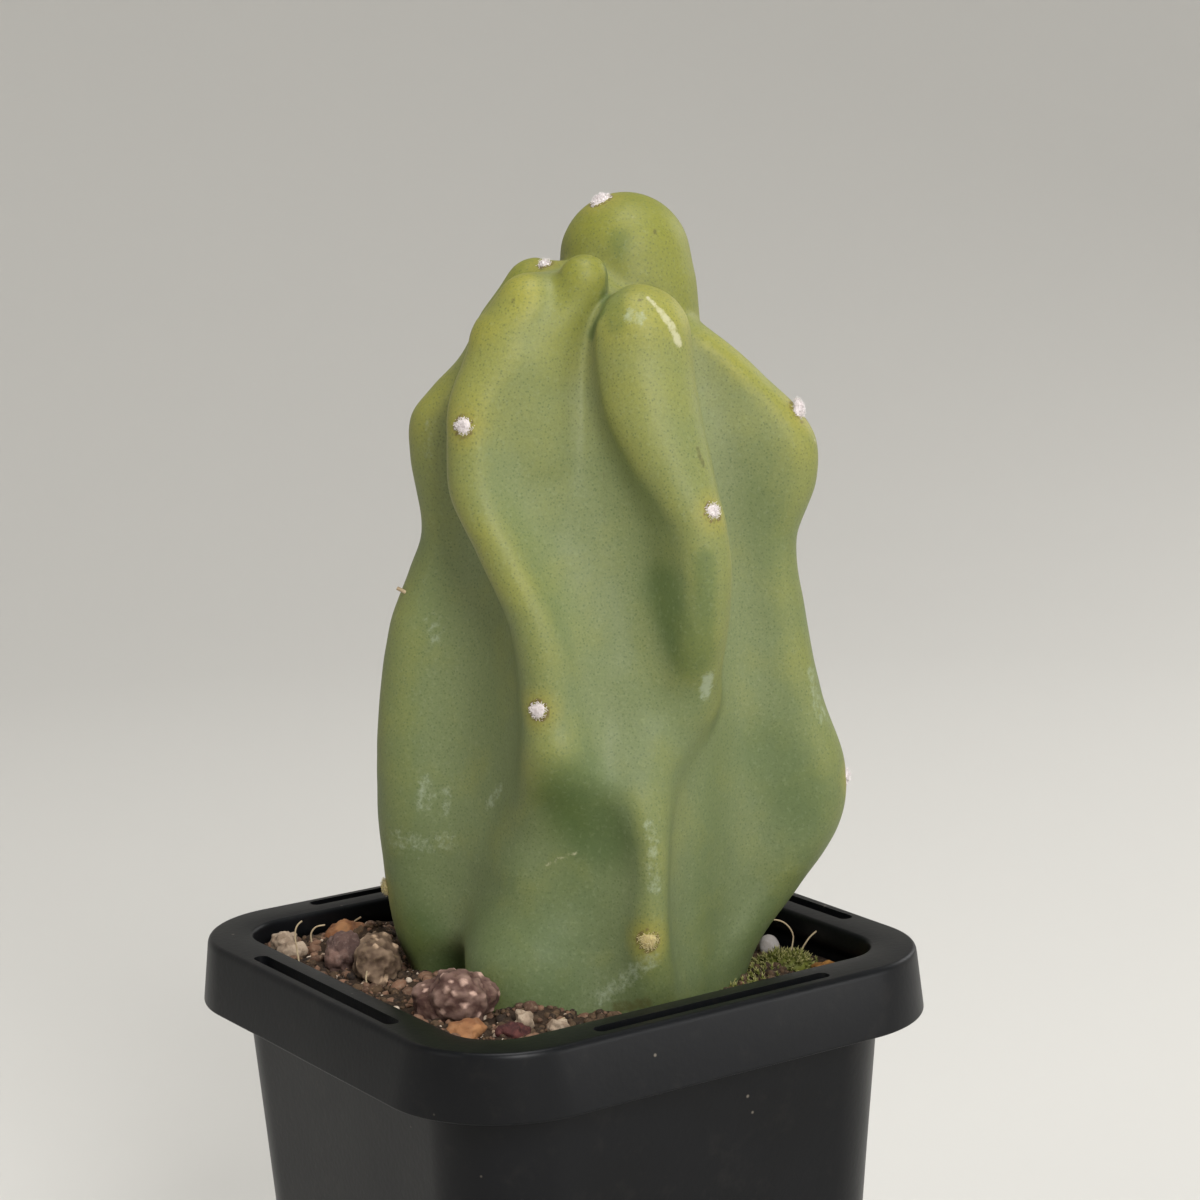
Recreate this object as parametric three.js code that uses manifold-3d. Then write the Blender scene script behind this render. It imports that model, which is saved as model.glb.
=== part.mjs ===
// Potted senita cactus: one stout stem with soft, melted-looking ribs, standing in gritty soil
// in a square nursery pot. Millimetres, +Z up. The origin is the centre of the pot's underside.

import * as THREE from 'three';
import { mergeVertices } from 'three/addons/utils/BufferGeometryUtils.js';
import Module from 'manifold-3d';

const wasm = await Module();
wasm.setup();

// Driving dimensions of the pot
const potHeight = 65;
const rimHalf = 35;
const rimCorner = 12.8;
const rimEdge = 0.6;
const flangeThickness = 1.2;
const skirtHeight = 7.9;
const skirtFlare = 1.3;
const skirtCorner = 15.3;
const skirtThickness = 1;
const wallHalf = 31.6;
const wallCorner = 11;
const wallDraft = 0.0605;
const wallThickness = 1.2;
const mouthHalf = 29.2;
const mouthCorner = 6.5;
const lipDepth = 4;
const floorThickness = 1.6;
const footRound = 0.8;

// The label slots through the flange, one along each side
const slotInset = 1.3;
const slotWidth = 1.9;
const slotLength = 33;

// Drainage holes in the pot's floor
const drainRadius = 4;
const drainPitch = 13;

// The soil's top lies this far below the rim at the axis, and falls towards +X
const soilDrop = 3.8;
const soilFall = 0.045;
const soilRipple = 0.35;
const clearance = 0.35;

// The stem's own frame: x runs across its broad front, y away from the front, z up from the rim.
// It is turned about the pot's axis by this many degrees.
const stemTurn = -33.84;

// The stem is wrapped on a spine that runs up inside it
const spineFoot = new THREE.Vector3(4, -3, -28);
const spineHead = new THREE.Vector3(8.5, -1, 66);
const endSoftness = 2.5;
const wrapReach = 55;
const wrapSteps = 60;

// How finely each wrap is divided: rows in each round end, spokes round it and rows between
const stemWrap = [8, 72, 30];
const holeWrap = [6, 72, 20];
const holeMargin = 0.7;

// The body between the ribs. Each station is a height, a place across, a depth and a radius.
const core = {
  stations: [
    [-32, 4, -3, 6], [-20, 4.2, -3, 12], [-8, 4.5, -3, 16.5], [4, 5, -2.4, 16.2], [20, 6, -1.5, 16.5],
    [35, 6.5, -1, 15.7], [50, 7, -1, 13], [62, 7.5, -1.5, 10.8], [69, 7.5, -1.5, 8.5],
  ],
};

// Each rib is a fin. Its stations give the rounded crest at a height, and its root is where the
// fin meets the middle of the stem, with a radius at the fin's foot and one at its top. blend is
// the radius of the melted valley beside it.
const ribs = {
  left: {
    blend: 6,
    root: [5, 1, 9, 4],
    stations: [
      [76, -2, 0, 3.2], [72.2, -5.4, 0, 3.6], [68.6, -8.8, 0.5, 3.9], [65.2, -11.2, 1, 4.2],
      [60.4, -11.4, 1.5, 4.4], [51, -10.6, 2, 4.3], [46, -12, 2, 4.6], [40, -13.7, 1, 5.2],
      [30, -14.9, 0, 5.8], [20, -15.1, -1, 6.2], [10, -14.9, -1, 6], [2, -13.8, -1, 6],
      [-3, -12, -1, 6], [-10, -9, -1, 6],
    ],
  },
  frontLeft: {
    blend: 5,
    root: [5, -4, 6.5, 3.5],
    stations: [
      [78.6, -0.8, -8.8, 3.5], [76.8, -2.9, -9.2, 4.2], [73.2, -4.1, -10.2, 4.3],
      [68, -6.6, -12, 3.7], [63, -7.3, -13, 3.4], [57, -7, -14, 3.4], [51, -4.5, -15.3, 3.3],
      [42, -0.8, -16.8, 3.2], [32, 0.6, -17.5, 3.4], [28, 1, -18, 4], [24, 1.6, -17, 4.8],
      [20, 2.2, -14.8, 5.4], [15, 3, -11.5, 6],
    ],
  },
  right: {
    blend: 5,
    root: [8, 0, 8.5, 3.4],
    stations: [
      [78.2, 12.4, 0, 3.4], [72.3, 19.6, 0, 3.4], [68.5, 23.6, 0, 3.4], [65, 26.9, 0, 3.6],
      [61, 28.7, 0, 4.1], [56, 28.6, 0, 4.2], [49, 26.2, 0, 4.2], [40, 26.6, 0, 4.6],
      [30, 28.1, 0, 5], [21, 30.5, 0, 5.2], [14, 29.6, 0, 5.4], [6, 24, 0, 6],
      [-1, 18, -1, 6.5], [-9, 13, -2, 6.5],
    ],
  },
  lowFront: {
    blend: 4,
    root: [5, -4, 6, 4],
    stations: [
      [33, 12.5, -10.5, 5.4], [28, 11.4, -13.4, 4.9], [23.5, 10.6, -16.2, 3.7],
      [19, 10.8, -18.2, 2.8], [14, 11.2, -19.2, 2.3], [4, 11, -19, 2.4], [-3, 10.6, -17, 3.2],
      [-9, 10.5, -13, 4],
    ],
  },
  frontFoot: {
    blend: 5,
    root: [4, -4, 7, 5],
    stations: [[10, -0.8, -11, 5], [2, -3.6, -13.5, 6.8], [-9, -3.4, -13.5, 7.2]],
  },
  backRight: {
    blend: 6,
    root: [8, 0, 8, 5],
    stations: [
      [66, 13, 9, 4], [60, 15, 17, 4], [45, 16, 19, 4.5], [30, 16, 20, 5], [15, 15, 20, 5.5],
      [0, 12, 15, 6], [-9, 9, 10, 6],
    ],
  },
  backLeft: {
    blend: 6,
    root: [6, 0, 8, 5],
    stations: [
      [68, 0, 8, 4], [58, -4, 16, 4], [44, -4, 17, 4.5], [30, -6, 18, 5], [14, -6, 18, 5.5],
      [0, -4, 13, 6], [-9, 0, 8, 6],
    ],
  },
  front: {
    blend: 3,
    root: [7, -4, 4.5, 3],
    stations: [
      [74.5, 11.6, -9.6, 6.2], [70, 12.1, -10.8, 6.1], [65, 13, -12.2, 5.9],
      [60, 14.7, -13.9, 5.1], [56, 16.4, -15.3, 4.2], [53, 17.6, -16, 3.7],
      [48, 18.3, -16.6, 3.5], [44, 18, -16.6, 3.5], [40, 17.5, -16.2, 3.5],
      [36.5, 16.9, -15, 3.5], [33, 16, -12.2, 4],
    ],
  },
  crownBud: {
    blend: 2.4,
    root: [4, -3, 3, 3],
    stations: [[66, -4.5, -2, 4.2], [72, -4, -2, 4.4], [77, -2.2, -1, 4.3], [79.6, 0, -0.5, 3.9]],
  },
  crownKnob: {
    blend: 1.6,
    stations: [
      [62, -0.6, -8, 5.8], [70, -0.4, -8.3, 5.2], [75, 1.6, -8.7, 4.3], [78.4, 3.9, -9, 3.4],
      [81.2, 5.7, -9.2, 3],
    ],
  },
  crown: {
    blend: 0.8,
    stations: [[58, 10.8, 3, 8.5], [70, 11.4, 3, 8.3], [80, 10.9, 3.2, 8.1], [82.9, 10.6, 3.5, 7.8]],
  },
};

// Hollows pressed into the stem: across, depth, height, radius and blend
const hollows = [
  [-12.8, -9.8, -4, 5.2, 3],
  [1.5, -27, 15.5, 8.6, 4.5],
];

// Felted areoles on the crests: the rib, the height, degrees round the crest, how steeply the
// button looks up, and the radius
const areoleHeight = 0.5;
const areoles = [
  ['frontLeft', 65.5, 30, 0, 0.95],
  ['frontLeft', 33.1, -7, 0, 0.95],
  ['front', 55.2, 5, 0, 0.95],
  ['right', 64.4, -15, 0, 1.3],
  ['right', 19.4, 0, 0, 1],
  ['lowFront', 5.7, -25, 0, 1],
  ['left', 7.6, 0, 0, 1],
  ['crown', 83, 0, 2.1, 1.1],
  ['crownBud', 79.6, 146, 1.1, 0.7],
  ['backRight', 56, 0, 0, 0.95],
  ['backRight', 27, 0, 0, 0.95],
  ['backLeft', 50, 0, 0, 0.95],
  ['backLeft', 20, 0, 0, 0.95],
];

// Loose stones on the soil: place, half sizes, turn in degrees and how far the centre is lifted
const stones = [
  { name: 'pumice_corner_outer', at: [-24.4, 25.4], size: [1.7, 1.6, 1.5], turn: 20, lift: 0.6 },
  { name: 'pumice_corner_inner', at: [-25.3, 21.6], size: [1.4, 1.7, 1.5], turn: 50, lift: 0.6 },
  { name: 'gravel_orange_back', at: [-15.7, 25.2], size: [2.6, 2, 2], turn: 15, lift: 1 },
  { name: 'gravel_brown_tall', at: [-22, 14.4], size: [2.2, 2.4, 3.2], turn: 0, lift: 1.4 },
  { name: 'conglomerate_left', at: [-21.2, 7.6], size: [3, 3.6, 3.1], turn: -34, lift: 1.5 },
  { name: 'conglomerate_front', at: [-21.4, -11], size: [4.9, 3.3, 3.4], turn: -34, lift: 1.7 },
  { name: 'gravel_orange_front', at: [-24.6, -18.4], size: [2.3, 1.7, 1.4], turn: -30, lift: 0.6 },
  { name: 'lava_red_front', at: [-20.9, -22.4], size: [2, 1.5, 1.3], turn: -40, lift: 0.4 },
  { name: 'pumice_front_spike', at: [-17.2, -19.2], size: [1.2, 1.1, 1.8], turn: 0, lift: 0.5 },
  { name: 'pumice_front_yellow', at: [-15.2, -23.2], size: [1.4, 1.1, 1.1], turn: -20, lift: 0.6 },
  { name: 'pebble_round', at: [25.4, -9.4], size: [1.35, 1.35, 1.3], turn: 0, lift: 0.7 },
  { name: 'bark_chunk', at: [26.6, -19.2], size: [1.7, 1.1, 0.9], turn: -30, lift: 0.4 },
];
const stoneRoughness = 0.13;

// The moss cushion against the stem
const moss = { name: 'moss_cushion', at: [23.6, -15], size: [3.2, 2.1, 1.5], turn: -34, lift: 0.1 };
const mossShoots = 26;
const mossShootRadius = 0.34;
const mossShootLength = 1.3;

// Fine grit that is part of the soil
const gritCount = 56;
const gritSmallest = 0.5;
const gritLargest = 1.3;
const gritSeed = 4127;

const upward = new THREE.Vector3(0, 0, 1);

// A repeatable stream of numbers from 0 to 1
function seededRandom(seed) {
  let state = seed;
  return () => {
    state = (state * 1664525 + 1013904223) % 4294967296;
    return state / 4294967296;
  };
}

// Smooth curve through a rib's stations, as [across, depth, radius]
function stationAt(stations, height) {
  const rising = stations[0][0] < stations[stations.length - 1][0];
  const list = rising ? stations : stations.slice().reverse();
  const last = list.length - 1;
  const held = THREE.MathUtils.clamp(height, list[0][0], list[last][0]);
  let low = 0;
  while (low < last - 1 && held > list[low + 1][0]) {
    low += 1;
  }
  const span = list[low + 1][0] - list[low][0];
  const t = (held - list[low][0]) / span;
  const slope = (i, column) => {
    const below = list[Math.max(i - 1, 0)];
    const above = list[Math.min(i + 1, last)];
    return (above[column] - below[column]) / (above[0] - below[0]);
  };
  return [1, 2, 3].map((column) => {
    const from = list[low][column];
    const to = list[low + 1][column];
    const leaving = slope(low, column) * span;
    const arriving = slope(low + 1, column) * span;
    const square = t * t;
    const cube = square * t;
    return (2 * cube - 3 * square + 1) * from + (cube - 2 * square + t) * leaving
      + (3 * square - 2 * cube) * to + (cube - square) * arriving;
  });
}

// How far a height runs past a rib's end, starting softly before the end is reached
function softExcess(past) {
  if (past <= -endSoftness) {
    return 0;
  }
  return past >= endSoftness ? past : (past + endSoftness) ** 2 / (4 * endSoftness);
}

// Distance from a point in the stem's frame to one rib, negative inside it
function ribDistance(point, rib) {
  const heights = rib.stations.map((station) => station[0]);
  const lowest = Math.min(...heights);
  const highest = Math.max(...heights);
  const held = point.z - softExcess(point.z - highest) + softExcess(lowest - point.z);
  const [across, depth, radius] = stationAt(rib.stations, held);
  const [rootX, rootY, footRadius, topRadius] = rib.root ?? [across, depth, radius, radius];
  const rise = (held - lowest) / (highest - lowest);
  const rootRadius = THREE.MathUtils.lerp(footRadius, topRadius, rise);
  const finX = across - rootX;
  const finY = depth - rootY;
  const along = ((point.x - rootX) * finX + (point.y - rootY) * finY) / (finX * finX + finY * finY + 1e-9);
  const t = THREE.MathUtils.clamp(along, 0, 1);
  const beside = Math.hypot(point.x - rootX - t * finX, point.y - rootY - t * finY, point.z - held);
  return beside - (rootRadius + t * (radius - rootRadius));
}

// Union of two distances with a melted valley where they meet
function meltTogether(first, second, blend) {
  const share = THREE.MathUtils.clamp(0.5 + (0.5 * (second - first)) / blend, 0, 1);
  return second + (first - second) * share - blend * share * (1 - share);
}

// Distance from a point in the stem's frame to the stem's skin
function stemDistance(point) {
  let distance = ribDistance(point, core);
  for (const rib of Object.values(ribs)) {
    distance = meltTogether(distance, ribDistance(point, rib), rib.blend);
  }
  for (const [x, y, z, radius, blend] of hollows) {
    const hollow = Math.hypot(point.x - x, point.y - y, point.z - z) - radius;
    distance = -meltTogether(-distance, hollow, blend);
  }
  return distance;
}

// Walks in from outside along a ray until the skin, grown by a margin, is met
function skinPoint(origin, direction, margin) {
  const point = new THREE.Vector3();
  let reach = wrapReach;
  for (let step = 0; step < wrapSteps; step += 1) {
    point.copy(origin).addScaledVector(direction, reach);
    reach -= 0.75 * (stemDistance(point) - margin);
  }
  return point.copy(origin).addScaledVector(direction, reach);
}

// Places a geometry of the stem's frame in the pot's frame
function toPotFrame(geometry) {
  geometry.rotateZ(THREE.MathUtils.degToRad(stemTurn));
  geometry.translate(0, 0, potHeight);
  return geometry;
}

// A capsule shrunk from outside onto the stem's skin, grown by a margin
function stemSkin(margin, counts) {
  const length = spineHead.z - spineFoot.z;
  const geometry = new THREE.CapsuleGeometry(1, length, ...counts);
  geometry.rotateX(Math.PI / 2);
  const places = geometry.getAttribute('position');
  const vertex = new THREE.Vector3();
  const origin = new THREE.Vector3();
  for (let i = 0; i < places.count; i += 1) {
    vertex.fromBufferAttribute(places, i);
    const level = THREE.MathUtils.clamp(vertex.z, -length / 2, length / 2);
    origin.lerpVectors(spineFoot, spineHead, level / length + 0.5);
    vertex.z -= level;
    const met = skinPoint(origin, vertex.normalize(), margin);
    places.setXYZ(i, met.x, met.y, met.z);
  }
  return toPotFrame(geometry);
}

// Turns a geometry into a solid, with shared corners merged and flat slivers left out
function solid(geometry) {
  for (const name of ['normal', 'uv']) {
    geometry.deleteAttribute(name);
  }
  const merged = mergeVertices(geometry, 1e-3);
  const corners = merged.index.array;
  const kept = [];
  for (let i = 0; i < corners.length; i += 3) {
    const [a, b, c] = corners.slice(i, i + 3);
    if (a !== b && b !== c && c !== a) {
      kept.push(a, b, c);
    }
  }
  const vertProperties = new Float32Array(merged.getAttribute('position').array);
  const triVerts = new Uint32Array(kept);
  return new wasm.Manifold(new wasm.Mesh({ numProp: 3, vertProperties, triVerts }));
}

// Turns a solid into a named mesh
function meshOf(name, body, { color, roughness }) {
  const { vertProperties, triVerts, numProp } = body.getMesh();
  const places = [];
  for (let i = 0; i < vertProperties.length; i += numProp) {
    places.push(vertProperties[i], vertProperties[i + 1], vertProperties[i + 2]);
  }
  const geometry = new THREE.BufferGeometry();
  geometry.setAttribute('position', new THREE.Float32BufferAttribute(places, 3));
  geometry.setIndex(Array.from(triVerts));
  geometry.computeVertexNormals();
  const mesh = new THREE.Mesh(geometry, new THREE.MeshStandardMaterial({ color, roughness, metalness: 0 }));
  mesh.name = name;
  return mesh;
}

// One level of a rounded square, anticlockwise from above
function squareRing(half, corner, z, cornerSteps = 7, sideSteps = 1) {
  const points = [];
  const reach = half - corner;
  for (let quarter = 0; quarter < 4; quarter += 1) {
    const turn = (quarter * Math.PI) / 2;
    const round = [];
    for (let step = 0; step <= cornerSteps; step += 1) {
      const angle = (step / cornerSteps) * (Math.PI / 2);
      round.push([reach + corner * Math.cos(angle), reach + corner * Math.sin(angle)]);
    }
    for (let step = 1; step < sideSteps; step += 1) {
      round.push([reach * (1 - (2 * step) / sideSteps), half]);
    }
    for (const [x, y] of round) {
      points.push(new THREE.Vector3(x, y, z).applyAxisAngle(upward, turn));
    }
  }
  return points;
}

// Skins a stack of equal rings and closes it with a point at each end
function loft(rings, firstCentre, lastCentre) {
  const count = rings[0].length;
  const points = rings.flat();
  const first = points.length;
  const last = first + 1;
  points.push(firstCentre, lastCentre);
  const index = [];
  for (let i = 0; i < count; i += 1) {
    const next = (i + 1) % count;
    index.push(first, next, i);
    for (let level = 0; level < rings.length - 1; level += 1) {
      const low = level * count;
      const high = low + count;
      index.push(low + i, low + next, high + next, low + i, high + next, high + i);
    }
    const top = (rings.length - 1) * count;
    index.push(last, top + i, top + next);
  }
  const geometry = new THREE.BufferGeometry().setFromPoints(points);
  geometry.setIndex(index);
  return geometry;
}

// Half width of the wall's outside at a height, which widens upwards
function wallAt(z) {
  return wallHalf - (potHeight - z) * wallDraft;
}

// A slot with round ends through the flange, along the side at the given quarter turn
function slotCutter(quarter) {
  const radius = slotWidth / 2;
  const reach = slotLength / 2 - radius;
  const outline = new THREE.Shape();
  outline.absarc(reach, 0, radius, -Math.PI / 2, Math.PI / 2);
  outline.absarc(-reach, 0, radius, Math.PI / 2, Math.PI * 1.5);
  const depth = flangeThickness * 3;
  const cutter = new THREE.ExtrudeGeometry(outline, { depth, bevelEnabled: false, curveSegments: 6 });
  cutter.translate(0, rimHalf - slotInset - radius, potHeight - depth / 2);
  cutter.rotateZ((quarter * Math.PI) / 2);
  return solid(cutter);
}

function buildPot() {
  const underFlange = potHeight - flangeThickness;
  const skirtFoot = potHeight - skirtHeight;
  const skirtHalf = rimHalf + skirtFlare;
  const skirtInner = skirtHalf - skirtThickness;
  const lipFoot = potHeight - lipDepth;
  const innerTop = wallAt(lipFoot) - wallThickness;
  const innerFoot = wallAt(floorThickness) - wallThickness;
  const footHalf = wallAt(footRound);
  const rings = [
    squareRing(footHalf - footRound, wallCorner - footRound, 0),
    squareRing(footHalf, wallCorner, footRound),
    squareRing(wallAt(underFlange), wallCorner, underFlange),
    squareRing(rimHalf - skirtThickness, rimCorner - skirtThickness, underFlange),
    squareRing(skirtInner, skirtCorner - skirtThickness, skirtFoot),
    squareRing(skirtHalf, skirtCorner, skirtFoot),
    squareRing(rimHalf, rimCorner, potHeight - rimEdge),
    squareRing(rimHalf - rimEdge, rimCorner - rimEdge, potHeight),
    squareRing(mouthHalf + rimEdge, mouthCorner + rimEdge, potHeight),
    squareRing(mouthHalf, mouthCorner, potHeight - rimEdge),
    squareRing(mouthHalf, mouthCorner, potHeight - lipDepth / 2),
    squareRing(innerTop, mouthCorner + 1, lipFoot),
    squareRing(innerFoot, mouthCorner, floorThickness),
  ];
  const underside = new THREE.Vector3(0, 0, 0);
  const floor = new THREE.Vector3(0, 0, floorThickness);
  let body = solid(loft(rings, underside, floor));
  for (let quarter = 0; quarter < 4; quarter += 1) {
    body = body.subtract(slotCutter(quarter));
    const drain = new THREE.CylinderGeometry(drainRadius, drainRadius, floorThickness * 4, 20);
    drain.rotateX(Math.PI / 2);
    drain.translate(drainPitch, drainPitch, 0);
    drain.rotateZ((quarter * Math.PI) / 2);
    body = body.subtract(solid(drain));
  }
  return meshOf('pot', body, { color: 0x26262b, roughness: 0.5 });
}

// Height of the soil's smooth top over the pot's underside
function soilTop(x, y) {
  const ripple = Math.sin(0.42 * x + 1) * Math.cos(0.37 * y) + 0.6 * Math.sin(0.8 * x - 0.6 * y);
  return potHeight - soilDrop - soilFall * x + soilRipple * ripple;
}

// A rough stone: a ball pushed in and out by a few waves, then stretched and laid on the soil
function stoneShape({ at, size, turn, lift, name }, grow = 0, detail = 1) {
  const geometry = new THREE.IcosahedronGeometry(1, detail);
  const places = geometry.getAttribute('position');
  const random = seededRandom(name.length * 7919 + Math.round(at[0] * 31));
  const waves = [1, 2, 3].map(() => ({
    along: new THREE.Vector3(random() - 0.5, random() - 0.5, random() - 0.5).normalize(),
    pace: 2.4 + 2.2 * random(),
    phase: 6.28 * random(),
  }));
  const vertex = new THREE.Vector3();
  for (let i = 0; i < places.count; i += 1) {
    vertex.fromBufferAttribute(places, i).normalize();
    const heights = waves.map(({ along, pace, phase }) => Math.sin(pace * vertex.dot(along) + phase));
    const push = heights.reduce((sum, height) => sum + height, 0);
    vertex.multiplyScalar(1 + (stoneRoughness * push) / 2);
    places.setXYZ(i, vertex.x * (size[0] + grow), vertex.y * (size[1] + grow), vertex.z * (size[2] + grow));
  }
  geometry.rotateZ(THREE.MathUtils.degToRad(turn));
  geometry.translate(at[0], at[1], soilTop(at[0], at[1]) + lift);
  return geometry;
}

function buildStone(stone, look) {
  return meshOf(stone.name, solid(stoneShape(stone)), look);
}

// Whether a spot on the soil is clear of the stem, the stones and the pot by a margin
function spotIsFree(x, y, margin) {
  const inward = new THREE.Vector3(x, y, -soilDrop);
  inward.applyAxisAngle(upward, -THREE.MathUtils.degToRad(stemTurn));
  const clearOfStem = stemDistance(inward) > margin + clearance;
  const clearOfStones = [...stones, moss].every(({ at, size }) => {
    const widest = Math.max(size[0], size[1]) * (1 + stoneRoughness * 1.5);
    return Math.hypot(x - at[0], y - at[1]) > widest + margin + clearance;
  });
  return clearOfStem && clearOfStones;
}

function buildSoil() {
  const foot = floorThickness + clearance;
  const edgeHalf = mouthHalf - clearance;
  const footHalf = wallAt(foot) - wallThickness - clearance;
  const scales = [1, 0.94, 0.86, 0.78, 0.7, 0.62, 0.5, 0.3];
  const rings = [squareRing(footHalf, mouthCorner - clearance, foot, 6, 8)];
  for (const scale of scales) {
    const ring = squareRing(edgeHalf, mouthCorner - clearance, 0, 6, 8);
    for (const point of ring) {
      point.multiplyScalar(scale);
      point.z = soilTop(point.x, point.y);
    }
    rings.push(ring);
  }
  const underside = new THREE.Vector3(0, 0, foot);
  const middle = new THREE.Vector3(0, 0, soilTop(0, 0));
  let body = solid(loft(rings, underside, middle));
  const random = seededRandom(gritSeed);
  const reach = edgeHalf - gritLargest - mouthCorner / 4;
  for (let placed = 0; placed < gritCount;) {
    const x = (2 * random() - 1) * reach;
    const y = (2 * random() - 1) * reach;
    const radius = gritSmallest + (gritLargest - gritSmallest) * random() ** 2;
    const turn = new THREE.Euler(6 * random(), 6 * random(), 6 * random());
    if (spotIsFree(x, y, radius)) {
      const grain = new THREE.IcosahedronGeometry(radius, 0);
      grain.applyMatrix4(new THREE.Matrix4().makeRotationFromEuler(turn));
      grain.translate(x, y, soilTop(x, y) + radius * 0.25);
      body = body.add(solid(grain));
      placed += 1;
    }
  }
  body = body.subtract(solid(stemSkin(holeMargin, holeWrap)));
  for (const stone of [...stones, moss]) {
    body = body.subtract(solid(stoneShape(stone, clearance)));
  }
  return meshOf('soil', body, { color: 0x3a2c22, roughness: 0.95 });
}

// A low dome with short shoots standing out of it
function buildMoss() {
  let body = solid(stoneShape(moss));
  const random = seededRandom(77);
  for (let i = 0; i < mossShoots; i += 1) {
    const angle = i * 2.399963;
    const spread = Math.sqrt((i + 0.5) / mossShoots) * 0.8;
    const shoot = new THREE.ConeGeometry(mossShootRadius, mossShootLength * (0.7 + 0.5 * random()), 4);
    shoot.rotateX(Math.PI / 2);
    const rise = moss.size[2] * Math.sqrt(1 - spread * spread);
    shoot.translate(moss.size[0] * spread * Math.cos(angle), moss.size[1] * spread * Math.sin(angle), rise);
    shoot.rotateZ(THREE.MathUtils.degToRad(moss.turn));
    shoot.translate(moss.at[0], moss.at[1], soilTop(...moss.at) + moss.lift);
    body = body.add(solid(shoot));
  }
  return meshOf(moss.name, body, { color: 0x59602a, roughness: 0.9 });
}

// A low felt button on a rib's crest, sunk into the skin
function areoleButton([ribName, height, turn, steepness, radius]) {
  const rib = ribs[ribName];
  const [across, depth] = stationAt(rib.stations, height);
  const [rootX, rootY] = rib.root ?? [across + 3, depth + 2];
  const outward = new THREE.Vector3(across - rootX, depth - rootY, 0).normalize();
  outward.applyAxisAngle(upward, THREE.MathUtils.degToRad(turn));
  outward.z = steepness;
  outward.normalize();
  const centre = skinPoint(new THREE.Vector3(across, depth, height), outward, 0);
  const button = new THREE.SphereGeometry(radius, 9, 6);
  button.scale(1, areoleHeight / radius + 0.3, 1);
  button.rotateX(Math.PI / 2);
  button.applyQuaternion(new THREE.Quaternion().setFromUnitVectors(upward, outward));
  button.translate(centre.x, centre.y, centre.z);
  return toPotFrame(button);
}

function buildStem() {
  let body = solid(stemSkin(0, stemWrap));
  for (const areole of areoles) {
    body = body.add(solid(areoleButton(areole)));
  }
  return meshOf('stem', body, { color: 0x7f8c4e, roughness: 0.5 });
}

// What each stone is made of
const stoneLooks = {
  pumice: { color: 0xb09a80, roughness: 0.9 },
  gravel: { color: 0x8a5a3c, roughness: 0.85 },
  conglomerate: { color: 0x7d6454, roughness: 0.9 },
  lava: { color: 0x4a2622, roughness: 0.9 },
  pebble: { color: 0x9a938c, roughness: 0.6 },
  bark: { color: 0x8a5a2c, roughness: 0.9 },
};

const plant = new THREE.Group();
plant.add(buildPot(), buildSoil(), buildStem(), buildMoss());
for (const stone of stones) {
  plant.add(buildStone(stone, stoneLooks[stone.name.split('_')[0]]));
}

export default plant;
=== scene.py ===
# %% [markdown]
# # A potted senita cactus
# The real object is a young, monstrous senita: one fleshy stem whose few ribs have melted into
# soft lobes, standing in gritty soil in a small square nursery pot of black plastic.
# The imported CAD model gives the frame. Every piece below is put where that model has it, in
# metres, with finer form and a real finish.

# %% Load the frame
import math

import bmesh
import bpy
import numpy as np
from mathutils import Matrix, Vector, noise
from mathutils.bvhtree import BVHTree


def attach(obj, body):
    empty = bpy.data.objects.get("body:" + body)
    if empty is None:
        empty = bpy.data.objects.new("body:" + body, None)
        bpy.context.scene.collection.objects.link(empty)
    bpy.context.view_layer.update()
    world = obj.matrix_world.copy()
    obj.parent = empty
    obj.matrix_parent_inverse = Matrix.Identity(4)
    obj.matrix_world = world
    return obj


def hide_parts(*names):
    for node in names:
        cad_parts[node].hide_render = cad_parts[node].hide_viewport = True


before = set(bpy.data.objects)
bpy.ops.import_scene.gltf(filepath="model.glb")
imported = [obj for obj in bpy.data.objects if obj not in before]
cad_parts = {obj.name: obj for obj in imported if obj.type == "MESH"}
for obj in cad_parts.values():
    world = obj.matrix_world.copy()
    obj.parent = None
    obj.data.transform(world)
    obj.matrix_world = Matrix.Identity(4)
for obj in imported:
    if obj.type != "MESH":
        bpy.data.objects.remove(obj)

MM = 0.001
scene = bpy.context.scene
scene.view_settings.view_transform = "Standard"
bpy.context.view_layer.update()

# %% [markdown]
# ## Camera
# The photograph looks slightly down on one corner of the pot. A camera can be placed by hand, or
# worked out from the straight edges of the pot, whose size is known. The second way is used
# here, so that a picture point can also be sent out as a ray and met with the plant.

# %% Camera
RIM = 65.0
PHOTO_SIDE = 1200
FOCAL = 3009.552
SENSOR = 36.0
CAMERA_TURN = math.radians(-33.8391)
CAMERA_RISE = math.radians(10.2852)
CAMERA_ROLL = math.radians(-1.6183)
CAMERA_AWAY = 363.381
AIM_ACROSS = 6.459
AIM_HEIGHT = 42.071

level = Vector((math.cos(CAMERA_TURN), math.sin(CAMERA_TURN), 0))
photo_back = Vector((
    math.sin(CAMERA_TURN) * math.cos(CAMERA_RISE),
    -math.cos(CAMERA_TURN) * math.cos(CAMERA_RISE),
    math.sin(CAMERA_RISE),
))
upright = photo_back.cross(level)
photo_right = level * math.cos(CAMERA_ROLL) + upright * math.sin(CAMERA_ROLL)
photo_up = upright * math.cos(CAMERA_ROLL) - level * math.sin(CAMERA_ROLL)
aim = level * AIM_ACROSS + Vector((0, 0, RIM + AIM_HEIGHT))
photo_eye = (aim + photo_back * CAMERA_AWAY) * MM

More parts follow.
